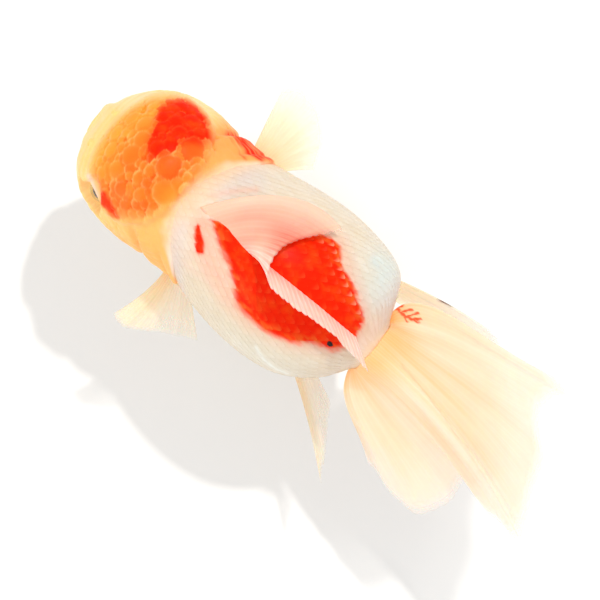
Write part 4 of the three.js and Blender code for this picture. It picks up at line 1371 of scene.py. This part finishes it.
def scale_material():
    s = Shader("scale_finish")
    reach, tone, red = s.mask("reach"), s.mask("tone"), s.mask("red")
    colour = fish_colour(s)
    sheen = s.times(s.ramp(reach, 0.72, 0.98), s.times(s.math("SUBTRACT", 1.0, red), 0.1))
    colour = s.mix(sheen, colour, SCALE_SHEEN)
    colour = s.mix(s.times(s.ramp(reach, 0.66, 0.95), s.times(s.mask("edge"), 0.5)), colour, SCALE_ARC)
    tips = s.times(s.times(s.ramp(reach, 0.6, 0.95), s.times(tone, 0.2)), red)
    colour = s.mix(tips, colour, SCALE_HOT_TIP)
    # Painted shade: a darker crescent where each scale comes out from under the tip of the one ahead.
    behind = s.times(s.ramp(reach, 0.7, 0.5), 0.3)
    colour = s.mix(behind, colour, s.mix(1.0, colour, TUCKED_SHADE_TINT, "MULTIPLY"))
    colour = s.mix(0.4, colour, s.mix(tone, *TONE_TINTS), "MULTIPLY")
    rings = s.math("SINE", s.times(reach, 70.0))
    s.bump(s.math("ADD", s.times(rings, 0.3), s.noise(1800, 2)), 0.12, 0.00008)
    return s.finish(
        Base_Color=colour, Roughness=s.spread(s.noise(500, 2), 0.26, 0.42), Specular_IOR_Level=shine(s),
        Subsurface_Weight=0.25, Subsurface_Scale=0.002, Subsurface_Radius=(1.0, 0.5, 0.3))


# For each look: colours at the base, halfway and at the tip; how solid the web is there and at its very
# edge; and how much more solid the rays are.
FIN_LOOKS = {
    "dorsal": (rgb(252, 192, 164), rgb(252, 192, 166), rgb(252, 196, 170), 0.93, 0.88, 0.72, 0.25, 0.03),
    "paired": (rgb(250, 208, 148), rgb(254, 230, 186), rgb(255, 244, 222), 0.84, 0.56, 0.28, 0.1, 0.03),
    # The left look is the paired one darker and yellower: painted shade on the left pectoral and pelvic
    # fins.
    "left": (rgb(247, 208, 146), rgb(247, 218, 166), rgb(248, 228, 190), 0.84, 0.62, 0.38, 0.12, 0.04),
    "tail": (rgb(250, 182, 108), rgb(251, 206, 158), rgb(252, 225, 196), 0.98, 0.82, 0.46, 0.12, 0.02),
}
# The other fins have the paired look.
# The left fins take the left look, with its painted shade.
LOOK_OF = {"dorsal_fin": "dorsal", "pectoral_fin_left": "left", "pelvic_fin_left": "left"}
RAY_LIGHT = rgb(255, 242, 226)
STRAND_LIGHT = rgb(252, 228, 218)
FIN_PINK = rgb(250, 140, 116)
FIN_RED = rgb(236, 84, 34)
IRIS_DARK = rgb(150, 120, 84)
IRIS_LIGHT = rgb(236, 220, 184)
IRIS_RING = rgb(252, 206, 92)
IRIS_EDGE = rgb(92, 84, 84)
EYE_WHITES = rgb(170, 184, 194), rgb(214, 218, 218)
PUPIL = rgb(8, 8, 10)
PIGMENT_LIGHT = rgb(52, 30, 24)
STAND_PAINTS = rgb(232, 230, 224), rgb(220, 217, 210)
STAND_FLECK = rgb(205, 202, 196)
FLOOR_GREYS = (0.81, 0.81, 0.795, 1), (0.83, 0.83, 0.815, 1)


def fin_material(look):
    base, half, tip, *solid, ray_share = FIN_LOOKS[look]
    s = Shader(f"{look}_fin_finish")
    along, ray = s.mask("along"), s.mask("ray")
    colour = s.mix(s.ramp(along, 0.04, 0.42), base, half)
    colour = s.mix(s.ramp(along, 0.35, 1.0), colour, tip)
    # Painted highlight: soft pale streaks for the light along the fins' folds.
    folds = s.spread(s.mask("fold"), *((-0.2, 0.9) if look == "tail" else (0.0, 0.4)))
    folds = s.times(folds, s.spread(s.ramp(along, 0.02, 0.3), 0.2, 0.7))
    colour = s.mix(folds, colour, RAY_LIGHT)
    mottle = s.noise(180, 3)
    colour = s.mix(0.2, colour, s.mix(mottle, *FIN_TINTS), "MULTIPLY")
    gleam = STRAND_LIGHT if look == "dorsal" else RAY_LIGHT
    colour = s.layers(colour, pink=FIN_PINK, gleam=gleam, red=FIN_RED, dark=PIGMENT)
    share = s.spread(s.ramp(along, 0.05, 0.5), solid[0], solid[1])
    for k, (low, high) in enumerate(((0.5, 0.95), (0.92, 1.0)), start=1):
        share = s.math("SUBTRACT", share, s.times(s.ramp(along, low, high), solid[k] - solid[k + 1]))
    share = s.times(share, s.spread(s.mask("clear"), 1.0, 0.45))
    share = s.math("ADD", share, s.times(ray, ray_share))
    marked = s.math("MAXIMUM", s.mask("red"), s.mask("dark"))
    s.bump(s.times(s.math("SINE", s.times(s.mask("joint"), 6.28)), ray), 0.2, 0.00005)
    return s.finish(
        Base_Color=colour, Alpha=s.math("MINIMUM", s.math("MAXIMUM", share, marked), 1.0),
        Roughness=s.spread(mottle, 0.3, 0.5), Specular_IOR_Level=0.2,
        Subsurface_Weight=0.3, Subsurface_Scale=0.002)


def eyeball_material():
    s = Shader("eyeball_finish")
    radial = s.mask("radial")
    streak = s.node("CombineXYZ", {"X": s.times(s.mask("turn"), 60.0), "Y": s.times(radial, 2.5)})
    grain = s.texture("Noise", "Fac", Scale=1.0, Detail=4.0, Vector=streak.outputs["Vector"])
    iris = s.mix(grain, IRIS_DARK, IRIS_LIGHT)
    iris = s.mix(s.ramp(radial, 0.68, 0.58), iris, IRIS_RING)
    iris = s.mix(s.ramp(radial, 0.84, 0.99), iris, IRIS_EDGE)
    white = s.mix(s.noise(700, 3), *EYE_WHITES)
    s.bump(grain, 0.4, 0.0001)
    return s.finish(
        Base_Color=s.layers(white, iris=iris, pupil=PUPIL), Roughness=s.spread(grain, 0.2, 0.36),
        Specular_IOR_Level=0.5, Coat_Weight=0.6)


def cornea_material():
    s = Shader("cornea_finish")
    return s.finish(Base_Color=(0.02, 0.02, 0.025, 1), Alpha=0.06, Roughness=0.03, Specular_IOR_Level=0.5)


def pigment_material():
    s = Shader("pigment_finish")
    fleck = s.noise(1600, 3)
    s.bump(fleck, 0.2, 0.00005)
    return s.finish(
        Base_Color=s.mix(fleck, PIGMENT, PIGMENT_LIGHT), Roughness=s.spread(fleck, 0.3, 0.5),
        Specular_IOR_Level=0.2)


def stand_material():
    s = Shader("stand_finish")
    fleck = s.noise(900, 4)
    colour = s.mix(s.spread(s.noise(45, 2), 0.0, 0.6), *STAND_PAINTS)
    s.bump(fleck, 0.2, 0.00006)
    return s.finish(
        Base_Color=s.mix(s.ramp(fleck, 0.62, 0.7), colour, STAND_FLECK),
        Roughness=s.spread(fleck, 0.36, 0.52), Specular_IOR_Level=0.4)


def floor_material():
    s = Shader("floor_finish")
    return s.finish(Base_Color=s.mix(s.noise(14, 3), *FLOOR_GREYS), Roughness=0.8, Specular_IOR_Level=0.1)


# ---------- Stage ----------

FLOOR_HALF = 2000.0
LIGHT_TARGET = (0.02, 0, 0.085)  # in metres, as are the lights' distances and sizes
# Direction, distance, size, watts and colour.
LIGHTS = {
    "key": ((-0.06, 0.40, 0.91), 1.3, 0.034, 7.5, (1.0, 0.97, 0.93)),
    "fill": ((-0.3, -0.85, 0.4), 1.4, 0.7, 6.0, (1.0, 0.99, 0.97)),
}
SKY_COLOUR = (0.98, 0.985, 1.0, 1)
SKY_STRENGTH = 0.92


def make_floor():
    corners = np.array([[-1, -1, 0], [1, -1, 0], [1, 1, 0], [-1, 1, 0]]) * FLOOR_HALF * MM
    mesh = bpy.data.meshes.new("floor")
    mesh.from_pydata(corners.tolist(), [], [(0, 1, 2, 3)])
    mesh.materials.append(floor_material())
    floor = put_in_scene("floor", mesh)


def make_lights():
    target = Vector(LIGHT_TARGET)
    for name, (direction, distance, size, watts, colour) in LIGHTS.items():
        data = bpy.data.lights.new(name, "AREA")
        data.size = size
        data.energy = watts
        data.color = colour
        lamp = put_in_scene(name, data)
        lamp.location = target + Vector(direction).normalized() * distance
        lamp.rotation_euler = (lamp.location - target).to_track_quat("Z", "Y").to_euler()


def make_sky():
    world = bpy.data.worlds.new("studio")
    bpy.context.scene.world = world
    world.use_nodes = True
    back = world.node_tree.nodes["Background"]
    back.inputs["Color"].default_value = SKY_COLOUR
    back.inputs["Strength"].default_value = SKY_STRENGTH
    view = bpy.context.scene.view_settings
    view.view_transform = "Standard"
    view.look = "None"


# ---------- The scene ----------

make_camera()
make_skin(skin_material())
scales = scale_material()
roots = scale_roots()
on_right = np.cos(roots[:, 2]) >= 0
on_top = np.sin(roots[:, 2]) >= 0
make_scales("scales_right_back", roots[on_right & on_top], scales, 5)
make_scales("scales_left_back", roots[~on_right & on_top], scales, 6)
make_scales("scales_right_belly", roots[on_right & ~on_top], scales, 7)
make_scales("scales_left_belly", roots[~on_right & ~on_top], scales, 8)
make_pigment_spot(pigment_material())
eyeball, cornea = eyeball_material(), cornea_material()
for side in EYE_LOOK:
    make_eye(side, eyeball, cornea)
fin_looks = {look: fin_material(look) for look in FIN_LOOKS}
for fin_name, guides in FIN_RAYS.items():
    make_fin(fin_name, guides, [fin_name], fin_looks[LOOK_OF.get(fin_name, "paired")])
make_fin("tail", TAIL_RAYS, TAIL_NODES, fin_looks["tail"])
stand = stand_material()
for stand_part in ("stand_base", "stand_rod_front", "stand_rod_rear"):
    for slot in bpy.data.objects[stand_part].material_slots:
        slot.material = stand
make_floor()
make_lights()
make_sky()
